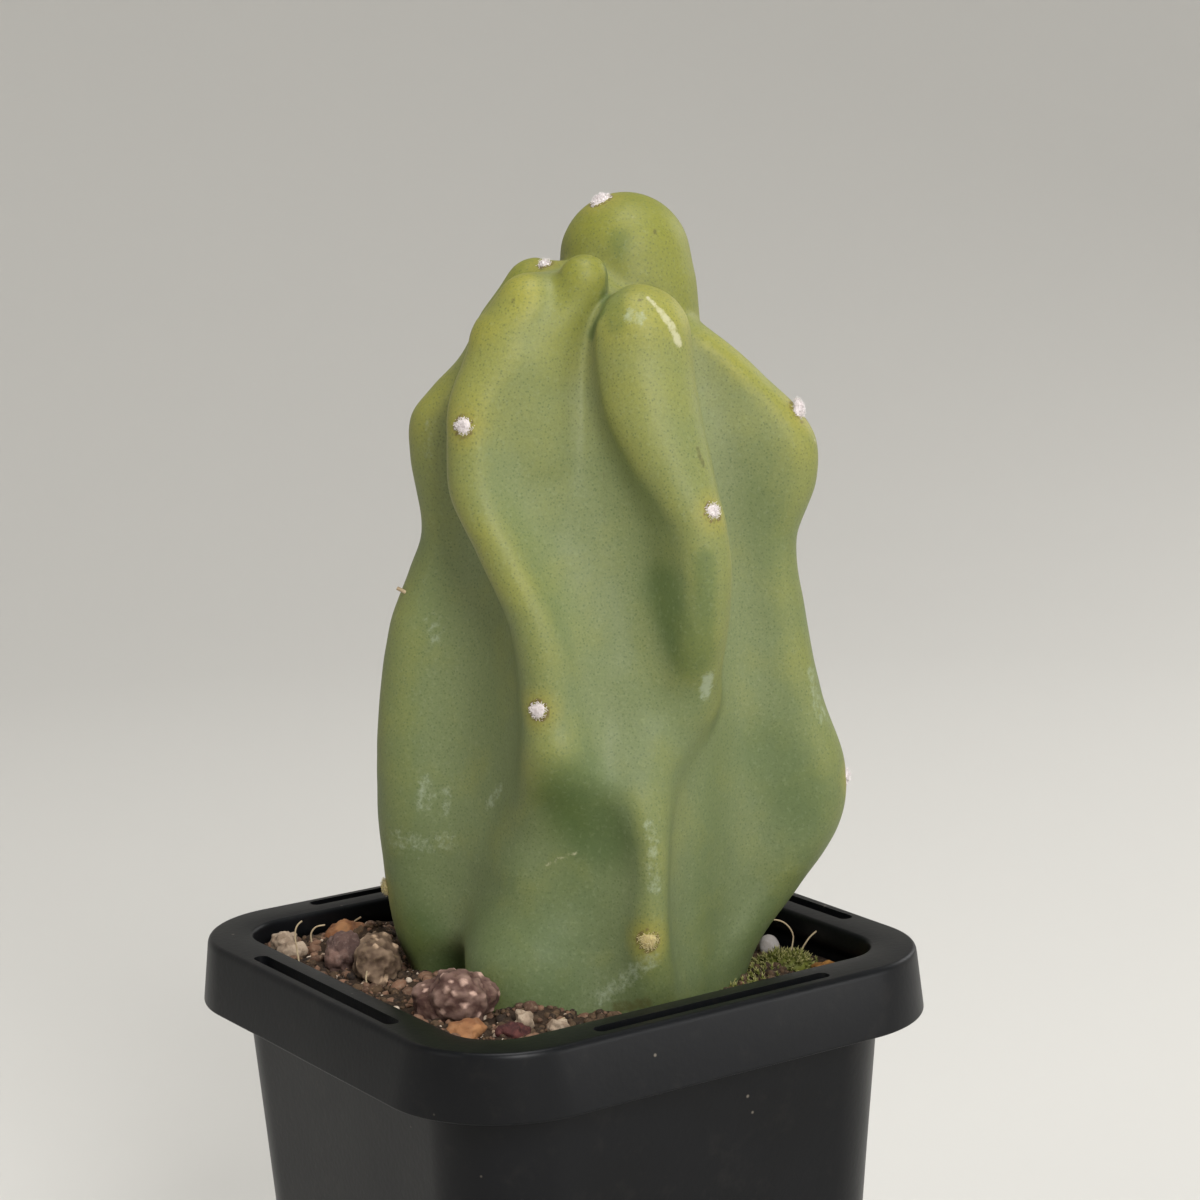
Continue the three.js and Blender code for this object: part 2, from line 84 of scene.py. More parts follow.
camera = bpy.data.objects.new("camera", bpy.data.cameras.new("camera"))
camera.data.sensor_width = SENSOR
camera.data.lens = FOCAL / PHOTO_SIDE * SENSOR
camera.matrix_world = Matrix((
    (photo_right.x, photo_up.x, photo_back.x, photo_eye.x),
    (photo_right.y, photo_up.y, photo_back.y, photo_eye.y),
    (photo_right.z, photo_up.z, photo_back.z, photo_eye.z),
    (0, 0, 0, 1),
))
scene.collection.objects.link(camera)
scene.camera = camera
print("lens in mm:", round(camera.data.lens, 2))


def photo_ray(px, py):
    """The direction in which the camera sees a point of the photograph."""
    half = PHOTO_SIDE / 2
    ray = photo_right * ((px - half) / FOCAL) + photo_up * ((half - py) / FOCAL) - photo_back
    return ray.normalized()


# %% [markdown]
# ## Nodes and colours
# Every finish and every Geometry Nodes tree is built from single nodes. One small function
# adds a node, sets it and feeds its sockets, and one turns a screen colour into linear light.

# %% Node and colour helpers
def linear(hex_colour):
    """An sRGB hex colour as linear red, green, blue and alpha."""
    channels = [int(hex_colour[i:i + 2], 16) / 255 for i in (1, 3, 5)]
    return [c / 12.92 if c <= 0.04045 else ((c + 0.055) / 1.055) ** 2.4 for c in channels] + [1.0]


def put(tree, kind, feeds=None, **settings):
    """Add a node; a feed is a plain value or the socket that drives the input."""
    node = tree.nodes.new(kind)
    for name, value in settings.items():
        setattr(node, name, value)
    for socket, value in (feeds or {}).items():
        if isinstance(value, bpy.types.NodeSocket):
            tree.links.new(value, node.inputs[socket])
        else:
            node.inputs[socket].default_value = value
    return node


def new_finish(name):
    """A material with its tree, its shader and the Object coordinates in millimetres."""
    finish = bpy.data.materials.new(name)
    finish.use_nodes = True
    tree = finish.node_tree
    place = put(tree, "ShaderNodeTexCoord").outputs["Object"]
    in_mm = put(tree, "ShaderNodeVectorMath", {0: place, "Scale": 1 / MM}, operation="SCALE")
    return finish, tree, tree.nodes["Principled BSDF"], in_mm.outputs[0]


def new_tree(name, inputs):
    """An empty Geometry Nodes tree with the named inputs, as a dict of socket kinds."""
    tree = bpy.data.node_groups.new(name, "GeometryNodeTree")
    tree.interface.new_socket("Geometry", in_out="INPUT", socket_type="NodeSocketGeometry")
    for title, kind in inputs.items():
        tree.interface.new_socket(title, in_out="INPUT", socket_type="NodeSocket" + kind)
    tree.interface.new_socket("Geometry", in_out="OUTPUT", socket_type="NodeSocketGeometry")
    return tree, put(tree, "NodeGroupInput").outputs


def finish_tree(tree, geometry, material):
    """End a tree in Realize Instances and Set Material, as the export needs."""
    real = put(tree, "GeometryNodeRealizeInstances", {"Geometry": geometry}).outputs[0]
    smooth = put(tree, "GeometryNodeSetShadeSmooth", {0: real}).outputs[0]
    worn = put(tree, "GeometryNodeSetMaterial", {"Geometry": smooth, "Material": material})
    put(tree, "NodeGroupOutput", {0: worn.outputs[0]})


# %% [markdown]
# ## Making pieces
# A piece is kept as a plain mesh whose object sits at the origin. Pieces from code get their
# points in millimetres, and a piece from a tree is evaluated once and its modifier is dropped.

# %% Piece helpers
def plain_piece(name, points, faces, finish, edges=()):
    """A shaded mesh object from points in millimetres."""
    mesh = bpy.data.meshes.new(name)
    mesh.from_pydata((np.asarray(points, float) * MM).tolist(), list(edges), faces)
    mesh.polygons.foreach_set("use_smooth", [True] * len(mesh.polygons))
    if finish:
        mesh.materials.append(finish)
    piece = bpy.data.objects.new(name, mesh)
    scene.collection.objects.link(piece)
    return piece


def grow_piece(carrier, tree, **values):
    """Run a tree on a carrier mesh and keep what it makes as a plain mesh."""
    modifier = carrier.modifiers.new(tree.name, "NODES")
    modifier.node_group = tree
    for item in tree.interface.items_tree:
        key = item.name.lower().replace(" ", "_")
        if item.in_out == "INPUT" and key in values:
            modifier[item.identifier] = values[key]
    graph = bpy.context.evaluated_depsgraph_get()
    grown = bpy.data.meshes.new_from_object(carrier.evaluated_get(graph))
    carrier.modifiers.clear()
    carrier.data = grown
    return carrier


def crease_by_angle(piece, degrees):
    """Keep edges sharper than an angle crisp on a smooth-shaded piece."""
    shell = bmesh.new()
    shell.from_mesh(piece.data)
    bmesh.ops.recalc_face_normals(shell, faces=shell.faces)
    for edge in shell.edges:
        edge.smooth = len(edge.link_faces) == 2 and edge.calc_face_angle() < math.radians(degrees)
    shell.to_mesh(piece.data)
    shell.free()


def seat(piece, slot, *nodes):
    """Ride on the one body and stand for CAD nodes; the slot is not used."""
    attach(piece, "root")
    if nodes:
        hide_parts(*nodes)
    piece.data.calc_loop_triangles()
    print(piece.name, "triangles:", len(piece.data.loop_triangles))


def give(piece, name, values):
    """Store one number for each point of a mesh, for its finish to read."""
    layer = piece.data.attributes.new(name, "FLOAT", "POINT")
    layer.data.foreach_set("value", np.asarray(values, np.float32))


# %% [markdown]
# ## Studio
# The plant is shown on a pale sweep under soft boxes. The sweep is a disc whose edge curves up
# all round, so that the floor runs into the backdrop from every side without a line.

# %% Sweep
SWEEP_SPOKES = 96
SWEEP_FLAT, SWEEP_CURVE, SWEEP_TOP = 0.5, 0.8, 2.2
sweep_section = [(0.0, 0.0), (0.25, 0.0), (SWEEP_FLAT, 0.0)]
sweep_section += [
    (
        SWEEP_FLAT + SWEEP_CURVE * math.sin(math.radians(a)),
        SWEEP_CURVE - SWEEP_CURVE * math.cos(math.radians(a)),
    )
    for a in range(5, 91, 5)
]
sweep_section.append((SWEEP_FLAT + SWEEP_CURVE, SWEEP_TOP))
sweep_points = []
for radius, height in sweep_section[1:]:
    for spoke in range(SWEEP_SPOKES):
        turn = 2 * math.pi * spoke / SWEEP_SPOKES
        sweep_points.append((radius * math.cos(turn) / MM, radius * math.sin(turn) / MM, height / MM))
sweep_faces = []
for ring in range(len(sweep_section) - 2):
    for spoke in range(SWEEP_SPOKES):
        a = ring * SWEEP_SPOKES + spoke
        b = ring * SWEEP_SPOKES + (spoke + 1) % SWEEP_SPOKES
        sweep_faces.append((a, a + SWEEP_SPOKES, b + SWEEP_SPOKES, b))
sweep_faces.append(tuple(range(SWEEP_SPOKES)))

# Matt seamless paper, rolled: even and without gloss
paper, tree, shader, at = new_finish("paper_seamless_matt")
shader.inputs["Base Color"].default_value = linear("#d2d0cb")
shader.inputs["Roughness"].default_value = 0.95
shader.inputs["Specular IOR Level"].default_value = 0.05
sweep = plain_piece("sweep", sweep_points, sweep_faces, paper)
print("sweep reaches", sweep_section[-1][0], "m")


# %% Lights
def softbox(name, right, front, height, side, watts, colour="#ffffff"):
    """A square soft box in metres to the right and in front of the plant, aimed at it."""
    lamp = bpy.data.lights.new(name, "AREA")
    lamp.size = side
    lamp.energy = watts
    lamp.color = linear(colour)[:3]
    box = bpy.data.objects.new(name, lamp)
    box.visible_camera = False
    toward = Vector((photo_back.x, photo_back.y, 0)).normalized()
    box.location = level * right + toward * front + Vector((0, 0, height))
    aimed = Vector((0, 0, 0.09)) - box.location
    box.rotation_euler = aimed.to_track_quat("-Z", "Y").to_euler()
    scene.collection.objects.link(box)


softbox("key_box", 0.3, 0.8, 0.6, 0.36, 7.3)
softbox("fill_box", -0.8, 0.5, 0.6, 0.5, 1.2)
softbox("top_box", 0.1, 0.1, 1.0, 0.4, 5.6)
softbox("rim_box", 0.5, -0.45, 0.35, 0.3, 1.0)
softbox("skirt_box", 0.78, 0.32, 0.2, 0.24, 1.3)
world = bpy.data.worlds.new("pale_studio")
world.use_nodes = True
world.node_tree.nodes["Background"].inputs["Color"].default_value = linear("#eef0f2")
world.node_tree.nodes["Background"].inputs["Strength"].default_value = 0.17
scene.world = world

# %% [markdown]
# ## The stem's form
# On the plant, the ribs are folds of one skin, so a rib has a soft crest and its neighbours run
# together in a melted valley. It could be sculpted, or built from crossed surfaces that are
# smoothed, but neither gives the even swelling of the flesh. So the stem is described as a
# field: a body and a fin for each rib, given by the height, place, depth and radius of its
# crest, melted together. A skin is then shrunk onto it from outside along rays from a spine.

# %% Ribs
STEM_TURN = math.radians(-33.84)
CORE = [
    [-32, 4, -3, 6], [-20, 4.2, -3, 12], [-8, 4.5, -3, 16.5], [4, 5, -2.4, 16.2], [20, 6, -1.5, 16.5],
    [35, 6.5, -1, 15.7], [50, 7, -1, 13], [62, 7.5, -1.5, 10.8], [69, 7.5, -1.5, 8.5],
]
# Each rib: the melt beside it, the root as place, depth and two radii, and the crest's stations
RIBS = {
    "left": (6, (5, 1, 9, 4), [
        [76, -2, 0, 3.2], [72.2, -5.4, 0, 3.6], [68.6, -8.8, 0.5, 3.9], [65.2, -11.2, 1, 4.2],
        [60.4, -11.4, 1.5, 4.4], [51, -10.6, 2, 4.3], [46, -12, 2, 4.6], [40, -13.7, 1, 5.2],
        [30, -14.9, 0, 5.8], [20, -15.1, -1, 6.2], [10, -14.9, -1, 6], [2, -13.8, -1, 6],
        [-3, -12, -1, 6], [-10, -9, -1, 6],
    ]),
    "front_left": (5, (5, -4, 6.5, 3.5), [
        [78.6, -0.8, -8.8, 3.5], [76.8, -2.9, -9.2, 4.2], [73.2, -4.1, -10.2, 4.3],
        [68, -6.6, -12, 3.7], [63, -7.3, -13, 3.4], [57, -7, -14, 3.4], [51, -4.5, -15.3, 3.3],
        [42, -0.8, -16.8, 3.2], [32, 0.6, -17.5, 3.4], [28, 1, -18, 4], [24, 1.6, -17, 4.8],
        [20, 2.2, -14.8, 5.4], [15, 3, -11.5, 6],
    ]),
    "right": (5, (8, 0, 8.5, 3.4), [
        [78.2, 12.4, 0, 3.4], [72.3, 19.6, 0, 3.4], [68.5, 23.6, 0, 3.4], [65, 26.9, 0, 3.6],
        [61, 28.7, 0, 4.1], [56, 28.6, 0, 4.2], [49, 26.2, 0, 4.2], [40, 26.6, 0, 4.6],
        [30, 28.1, 0, 5], [21, 30.5, 0, 5.2], [14, 29.6, 0, 5.4], [6, 24, 0, 6],
        [-1, 18, -1, 6.5], [-9, 13, -2, 6.5],
    ]),
    "low_front": (4, (5, -4, 6, 4), [
        [33, 12.5, -10.5, 5.4], [28, 11.4, -13.4, 4.9], [23.5, 10.6, -16.2, 3.7],
        [19, 10.8, -18.2, 2.8], [14, 11.2, -19.2, 2.3], [4, 11, -19, 2.4], [-3, 10.6, -17, 3.2],
        [-9, 10.5, -13, 4],
    ]),
    "front_foot": (5, (4, -4, 7, 5), [[10, -0.8, -11, 5], [2, -3.6, -13.5, 6.8], [-9, -3.4, -13.5, 7.2]]),
    "back_right": (6, (8, 0, 8, 5), [
        [66, 13, 9, 4], [60, 15, 17, 4], [45, 16, 19, 4.5], [30, 16, 20, 5], [15, 15, 20, 5.5],
        [0, 12, 15, 6], [-9, 9, 10, 6],
    ]),
    "back_left": (6, (6, 0, 8, 5), [
        [68, 0, 8, 4], [58, -4, 16, 4], [44, -4, 17, 4.5], [30, -6, 18, 5], [14, -6, 18, 5.5],
        [0, -4, 13, 6], [-9, 0, 8, 6],
    ]),
    "front": (3, (7, -4, 4.5, 3), [
        [74.5, 11.6, -9.6, 6.2], [70, 12.1, -10.8, 6.1], [65, 13, -12.2, 5.9],
        [60, 14.7, -13.9, 5.1], [56, 16.4, -15.3, 4.2], [53, 17.6, -16, 3.7],
        [48, 18.3, -16.6, 3.5], [44, 18, -16.6, 3.5], [40, 17.5, -16.2, 3.5],
        [36.5, 16.9, -15, 3.5], [33, 16, -12.2, 4],
    ]),
    # A low shoulder, finer than the CAD stem shows, that runs the knob's foot into its rib
    "knob_shoulder": (3.5, None, [
        [56, -1, -9.4, 3.4], [64, -1.4, -9.6, 4.2], [71, -1.4, -9.2, 4.4], [76, -0.2, -8.4, 4],
    ]),
    "crown_bud": (2.4, (4, -3, 3, 3), [
        [66, -4.5, -2, 4.2], [72, -4, -2, 4.4], [77, -2.2, -1, 4.3], [79.6, 0, -0.5, 3.9],
    ]),
    "crown_knob": (1.6, None, [
        [62, -0.6, -8, 5.8], [70, -0.4, -8.3, 5.2], [75, 1.6, -8.7, 4.3], [78.4, 3.9, -9, 3.4],
        [81.2, 5.7, -9.2, 3],
    ]),
    "crown": (0.8, None, [
        [58, 10.8, 3, 8.5], [70, 11.4, 3, 8.3], [80, 10.9, 3.2, 8.1], [82.9, 10.6, 3.5, 7.8],
    ]),
}
# Hollows pressed into the skin: place, depth, height, radius and melt
HOLLOWS = [(-12.8, -9.8, -4, 5.2, 3), (1.5, -27, 15.5, 8.6, 4.5)]
SOFT_END = 2.5
print("ribs and lobes:", len(RIBS))


# %% Field
def stations_at(stations, heights):
    """A smooth curve through the stations, read at many heights."""
    table = np.array(sorted(stations), float)
    marks, values = table[:, 0], table[:, 1:]
    slopes = np.zeros_like(values)
    slopes[1:-1] = (values[2:] - values[:-2]) / (marks[2:] - marks[:-2])[:, None]
    slopes[0] = (values[1] - values[0]) / (marks[1] - marks[0])
    slopes[-1] = (values[-1] - values[-2]) / (marks[-1] - marks[-2])
    held = np.clip(heights, marks[0], marks[-1])
    low = np.clip(np.searchsorted(marks, held) - 1, 0, len(marks) - 2)
    span = (marks[low + 1] - marks[low])[:, None]
    t = (held - marks[low])[:, None] / span
    start = (2 * t**3 - 3 * t**2 + 1) * values[low] + (t**3 - 2 * t**2 + t) * span * slopes[low]
    stop = (3 * t**2 - 2 * t**3) * values[low + 1] + (t**3 - t**2) * span * slopes[low + 1]
    return start + stop


def soft_excess(past):
    """How far a height runs past a rib's end, starting softly before the end."""
    eased = (past + SOFT_END) ** 2 / (4 * SOFT_END)
    return np.where(past <= -SOFT_END, 0, np.where(past >= SOFT_END, past, eased))


def rib_distance(points, root, stations):
    """Distance from points in the stem's frame to one rib, negative inside it."""
    marks = [station[0] for station in stations]
    lowest, highest = min(marks), max(marks)
    z = points[:, 2]
    held = z - soft_excess(z - highest) + soft_excess(lowest - z)
    crest = stations_at(stations, held)
    if root is None:
        beside = points[:, :2] - crest[:, :2]
        return np.sqrt((beside**2).sum(1) + (z - held) ** 2) - crest[:, 2]
    foot_radius, top_radius = root[2:]
    root_radius = foot_radius + (top_radius - foot_radius) * (held - lowest) / (highest - lowest)
    fin = crest[:, :2] - root[:2]
    away = points[:, :2] - root[:2]
    t = np.clip((away * fin).sum(1) / ((fin**2).sum(1) + 1e-9), 0, 1)
    beside = away - t[:, None] * fin
    reach = np.sqrt((beside**2).sum(1) + (z - held) ** 2)
    return reach - (root_radius + t * (crest[:, 2] - root_radius))


def melt(first, second, blend):
    """Union of two distances with a melted valley."""
    share = np.clip(0.5 + 0.5 * (second - first) / blend, 0, 1)
    return second + (first - second) * share - blend * share * (1 - share)


def stem_distance(points):
    """Distance from points in the stem's frame to the skin."""
    distance = rib_distance(points, None, CORE)
    for blend, root, stations in RIBS.values():
        distance = melt(distance, rib_distance(points, root, stations), blend)
    for x, y, z, radius, blend in HOLLOWS:
        hollow = np.sqrt(((points - (x, y, z)) ** 2).sum(1)) - radius
        distance = -melt(-distance, hollow, blend)
    return distance


def to_pot(points):
    """From the stem's frame to the pot's."""
    c, s = math.cos(STEM_TURN), math.sin(STEM_TURN)
    x, y, z = np.asarray(points, float).T
    return np.stack([c * x - s * y, s * x + c * y, z + RIM], 1)


def to_stem(points):
    """From the pot's frame to the stem's."""
    c, s = math.cos(STEM_TURN), math.sin(STEM_TURN)
    x, y, z = np.asarray(points, float).T
    return np.stack([c * x + s * y, -s * x + c * y, z - RIM], 1)


# %% [markdown]
# ### Shrink-wrapping the skin
# The spine runs up inside the stem. Rings of rays leave it sideways, and the rays of its two
# ends fan out over the crown and under the foot. Each ray walks in from outside by a share of
# the distance that the field gives, which can never step through the skin.

# %% Skin
SPINE_FOOT = np.array([4.0, -3.0, -28.0])
SPINE_HEAD = np.array([8.5, -1.0, 66.0])
WRAP_REACH = 55.0
WRAP_SPOKES = 352
BURIED_ROWS = 10
OPEN_ROWS = 166
FOOT_ROWS = 6
CROWN_ROWS = 84
OPEN_FROM = 0.2


def walk_in(origins, rays):
    """Where rays from outside first meet the skin."""
    reach = np.full(len(rays), WRAP_REACH)
    for step in range(60):
        gap = stem_distance(origins + rays * reach[:, None])
        reach -= 0.75 * gap
        if np.abs(gap).max() < 0.004:
            break
    return origins + rays * reach[:, None]


rows = [(-90 + 90 * i / FOOT_ROWS, 0.0) for i in range(1, FOOT_ROWS)]
rows += [(0.0, OPEN_FROM * i / BURIED_ROWS) for i in range(BURIED_ROWS)]
rows += [(0.0, OPEN_FROM + (1 - OPEN_FROM) * i / OPEN_ROWS) for i in range(OPEN_ROWS + 1)]
rows += [(90 * i / CROWN_ROWS, 1.0) for i in range(1, CROWN_ROWS)]
spokes = np.arange(WRAP_SPOKES) * 2 * math.pi / WRAP_SPOKES
origins, rays = [], []
for tilt, along in rows:
    flat, rise = math.cos(math.radians(tilt)), math.sin(math.radians(tilt))
    origins.append(np.repeat((SPINE_FOOT + (SPINE_HEAD - SPINE_FOOT) * along)[None], WRAP_SPOKES, 0))
    rays.append(np.stack([flat * np.cos(spokes), flat * np.sin(spokes), np.full(WRAP_SPOKES, rise)], 1))
origins = np.vstack(origins + [SPINE_FOOT[None], SPINE_HEAD[None]])
rays = np.vstack(rays + [np.array([[0, 0, -1.0]]), np.array([[0, 0, 1.0]])])
skin_points = walk_in(origins, rays)

skin_faces = []
for row in range(len(rows) - 1):
    for spoke in range(WRAP_SPOKES):
        a = row * WRAP_SPOKES + spoke
        b = row * WRAP_SPOKES + (spoke + 1) % WRAP_SPOKES
        skin_faces.append((a, b, b + WRAP_SPOKES, a + WRAP_SPOKES))
last_row = (len(rows) - 1) * WRAP_SPOKES
foot_point, crown_point = len(rows) * WRAP_SPOKES, len(rows) * WRAP_SPOKES + 1
for spoke in range(WRAP_SPOKES):
    beside = (spoke + 1) % WRAP_SPOKES
    skin_faces.append((foot_point, beside, spoke))
    skin_faces.append((crown_point, last_row + spoke, last_row + beside))
print("skin points:", len(skin_points), "gap left in mm:", float(np.abs(stem_distance(skin_points)).max()))

# %% [markdown]
# ### Swellings in the flesh
# Living skin is never as even as a formula. Two slow noises move each point a little along
# its normal: broad swellings as the flesh fills, and a finer unevenness.

# %% Swellings
SWELLS = [(9.0, 0.16, 11.0), (3.2, 0.05, 37.0)]


def normals_of(piece):
    """The point normals of a mesh as an array."""
    flat = np.empty(len(piece.data.vertices) * 3, np.float32)
    piece.data.vertices.foreach_get("normal", flat)
    return flat.reshape(-1, 3).astype(float)


stem_skin = plain_piece("stem_skin", to_pot(skin_points), skin_faces, None)
skin_normals = normals_of(stem_skin)
place = to_pot(skin_points)
swell = np.zeros(len(place))
for width, height, shift in SWELLS:
    swell += [height * noise.noise(Vector(p / width) + Vector((shift, shift, 0))) for p in place]
place += skin_normals * swell[:, None]
stem_skin.data.vertices.foreach_set("co", (place * MM).ravel())
stem_skin.data.update()
skin_tree = BVHTree.FromPolygons((place * MM).tolist(), skin_faces)
print("swellings in mm:", round(float(swell.min()), 2), "to", round(float(swell.max()), 2))


def on_skin(px, py):
    """The point of the skin that the camera sees at a point of the photograph, in mm."""
    hit = skin_tree.ray_cast(photo_eye, photo_ray(px, py))[0]
    return None if hit is None else np.array(hit) / MM


# %% [markdown]
# ### Where the colours lie
# The stem is blue-green with a waxy bloom in the valleys and yellow-green on the crests, where
# the flesh is thin and young. How sharply the skin bends at each point can be read from the
# field a little to each side, so it steers that colour. Marks from the plant's life, and painted
# shade in creases and under overhangs, lie along short lines on the skin, each with a width.

# %% Crests and valleys
PROBE = 4.4
BEND_STEP = 3.2
YOUNG_LOBES = [("crown", 2.0), ("crown_knob", 1.2), ("crown_bud", 1.6)]
stem_place = to_stem(place)
outward = to_stem(place + skin_normals * PROBE)
walled = np.clip(1 - stem_distance(outward) / PROBE, 0, 1)
young = np.clip((stem_place[:, 2] + 4) / 84, 0, 1)
sideways = np.cross(skin_normals, (0.31, 0.2, 0.93))
sideways /= np.linalg.norm(sideways, axis=1)[:, None]
upways = np.cross(skin_normals, sideways)
bend = -4 * stem_distance(stem_place)
for way in (sideways, -sideways, upways, -upways):
    bend += stem_distance(to_stem(place + way * BEND_STEP))
bend /= BEND_STEP**2
crest = np.clip((bend - 0.08) / 0.24, 0, 1)
lobe = np.zeros(len(place))
for rib_name, fade in YOUNG_LOBES:
    blend, root, stations = RIBS[rib_name]
    beyond = rib_distance(stem_place, root, stations)
    lobe = np.maximum(lobe, np.clip(1 - beyond / fade, 0, 1))
lobe *= np.clip((stem_place[:, 2] - 66) / 10, 0, 1)
print("crest share:", round(float(crest.mean()), 2), "valley share:", round(float(walled.mean()), 2))
print("young lobe share:", round(float(lobe.mean()), 3))

# %% Marks
# Each mark: its points in the photograph, half its width in mm and its strength
BLOOM_MARKS = [
    ([(432, 618), (436, 640)], 1.0, 0.5), ([(425, 780), (424, 806)], 0.9, 0.6),
    ([(446, 790), (446, 812)], 0.7, 0.5), ([(395, 838), (420, 845), (450, 840)], 1.6, 0.4),
    ([(500, 788), (488, 806)], 0.7, 0.5), ([(812, 675), (822, 715)], 1.4, 0.5),
    ([(650, 826), (655, 890)], 0.9, 0.45), ([(708, 678), (706, 694)], 0.9, 0.8),
    ([(600, 998), (630, 975), (652, 960)], 1.2, 0.5), ([(640, 318), (630, 316)], 1.0, 0.6),
    ([(430, 420), (428, 455)], 0.8, 0.35),
]
# Deep green, partly the flesh's own and partly painted shade under overhangs, in creases round the knob and
# in the fold at the foot
DEEP_GREEN_AND_SHADE_MARKS = [
    ([(572, 790), (600, 832)], 4.6, 0.9), ([(664, 590), (690, 655)], 3.2, 0.8),
    ([(765, 750), (800, 800)], 4.6, 0.55), ([(425, 935), (448, 968)], 3.6, 0.7),
    ([(620, 240), (616, 322)], 1.5, 0.6), ([(570, 900), (560, 980)], 4.5, 0.45),
    ([(606, 268), (607, 290), (602, 312), (592, 335)], 0.7, 1.0), ([(760, 500), (775, 560)], 3.5, 0.35),
    ([(706, 560), (704, 650)], 1.4, 0.7),
]
CORK_MARKS = [
    ([(648, 298), (660, 311)], 0.32, 0.75), ([(660, 311), (672, 328)], 0.5, 0.8),
    ([(671, 325), (679, 342)], 0.62, 0.85), ([(800, 408), (815, 440)], 0.5, 0.6),
    ([(540, 868), (560, 858), (578, 852)], 0.22, 0.45), ([(630, 218), (650, 216)], 0.2, 0.3),
]
# Dark specks and lines; the fine line down the valley between the front ribs is painted crease shade
DARK_SPECK_AND_CREASE_SHADE_MARKS = [
    ([(603, 462), (605, 500), (603, 538)], 0.2, 0.4), ([(655, 232)], 0.35, 0.8), ([(640, 300)], 0.35, 0.8),
    ([(513, 300)], 0.35, 0.8), ([(725, 800)], 0.2, 0.8), ([(559, 259)], 0.2, 0.8),
    ([(617, 1008), (648, 1002)], 0.8, 0.7), ([(543, 268)], 0.5, 0.6), ([(698, 448), (703, 466)], 0.4, 0.75),
]


def mark_strength(marks):
    """How strongly each point of the skin is marked, fading over each mark's width."""
    total = np.zeros(len(place))
    for trail, half_width, strength in marks:
        hits = [hit for hit in (on_skin(*spot) for spot in trail) if hit is not None]
        if not hits:
            continue
        nearest = np.full(len(place), np.inf)
        for start, stop in zip(hits, hits[1:] or hits):
            step = stop - start
            t = np.clip((place - start) @ step / (step @ step + 1e-9), 0, 1)
            nearest = np.minimum(nearest, np.linalg.norm(place - start - t[:, None] * step, axis=1))
        total = np.maximum(total, strength * np.clip(1.5 - nearest / half_width, 0, 1))
    return total


give(stem_skin, "crest", crest)
give(stem_skin, "young", young)
give(stem_skin, "lobe", lobe)
give(stem_skin, "valley", walled)
# deep green with painted shade under overhangs and in creases
give(stem_skin, "deep_green_and_shade", mark_strength(DEEP_GREEN_AND_SHADE_MARKS))
give(stem_skin, "bloom", mark_strength(BLOOM_MARKS))
give(stem_skin, "cork", mark_strength(CORK_MARKS))
# dark specks, and a crease line painted as shade
give(stem_skin, "dark", mark_strength(DARK_SPECK_AND_CREASE_SHADE_MARKS))

# %% [markdown]
# ### Areoles
# Each areole is a felted button on a crest, from which spines would grow. Here they are nearly
# spineless: a pad of white wool in a thin brown ring, with a yellow halo in the skin. The
# places come from the ribs, and the halo is stored on the skin by distance.

# %% Areole places
# Rib, height, degrees round the crest, how steeply it looks up, and radius
AREOLES = [
    ("front_left", 65.5, 30, 0, 0.95), ("front_left", 33.1, -7, 0, 0.95), ("front", 55.2, 5, 0, 0.95),
    ("right", 64.4, -15, 0, 1.3), ("right", 19.4, 0, 0, 1), ("low_front", 5.7, -25, 0, 1),
    ("left", 7.6, 0, 0, 1), ("crown", 83, 0, 2.1, 1.1), ("crown_bud", 79.6, 146, 1.1, 0.7),
    ("back_right", 56, 0, 0, 0.95), ("back_right", 27, 0, 0, 0.95), ("back_left", 50, 0, 0, 0.95),
    ("back_left", 20, 0, 0, 0.95),
]
HALO_WIDTH, RING_REACH, RING_WIDTH = 2.4, 1.26, 0.36
areole_spots = []
for rib_name, height, degrees, steepness, radius in AREOLES:
    blend, root, stations = RIBS[rib_name]
    across, depth = stations_at(stations, np.array([float(height)]))[0, :2]
    root_x, root_y = root[:2] if root else (across + 3, depth + 2)
    facing = Vector((across - root_x, depth - root_y, 0)).normalized()
    facing.rotate(Matrix.Rotation(math.radians(degrees), 3, "Z"))
    facing.z = steepness
    facing.normalize()
    met = walk_in(np.array([[across, depth, height]]), np.array([facing]))
    centre = to_pot(met)[0]
    facing.rotate(Matrix.Rotation(STEM_TURN, 3, "Z"))
    areole_spots.append((centre, np.array(facing), radius))

halo = np.zeros(len(place))
ring = np.zeros(len(place))
for centre, facing, radius in areole_spots:
    away = np.linalg.norm(place - centre, axis=1)
    halo = np.maximum(halo, np.clip(1 - (away - radius) / HALO_WIDTH, 0, 1))
    off_ring = np.abs(away - radius * RING_REACH)
    ring = np.maximum(ring, np.clip(1 - off_ring / RING_WIDTH, 0, 1))
give(stem_skin, "halo", halo)
give(stem_skin, "ring", ring)
print("areoles:", len(areole_spots))

# %% [markdown]
# ### The stem's finish
# The skin is a cuticle under a thin coat of wax: satin, slightly translucent, blue-green and
# finely stippled with breathing pores about 0.3 mm apart. A plain green with a bump would look
# like rubber, so the colour is built in layers: valley and face green, yellow crests, a slow
# mottle of 6 mm, deep green with painted shade, pores, then wax bloom, cork and dark specks
# with a painted crease shade where they were stored.

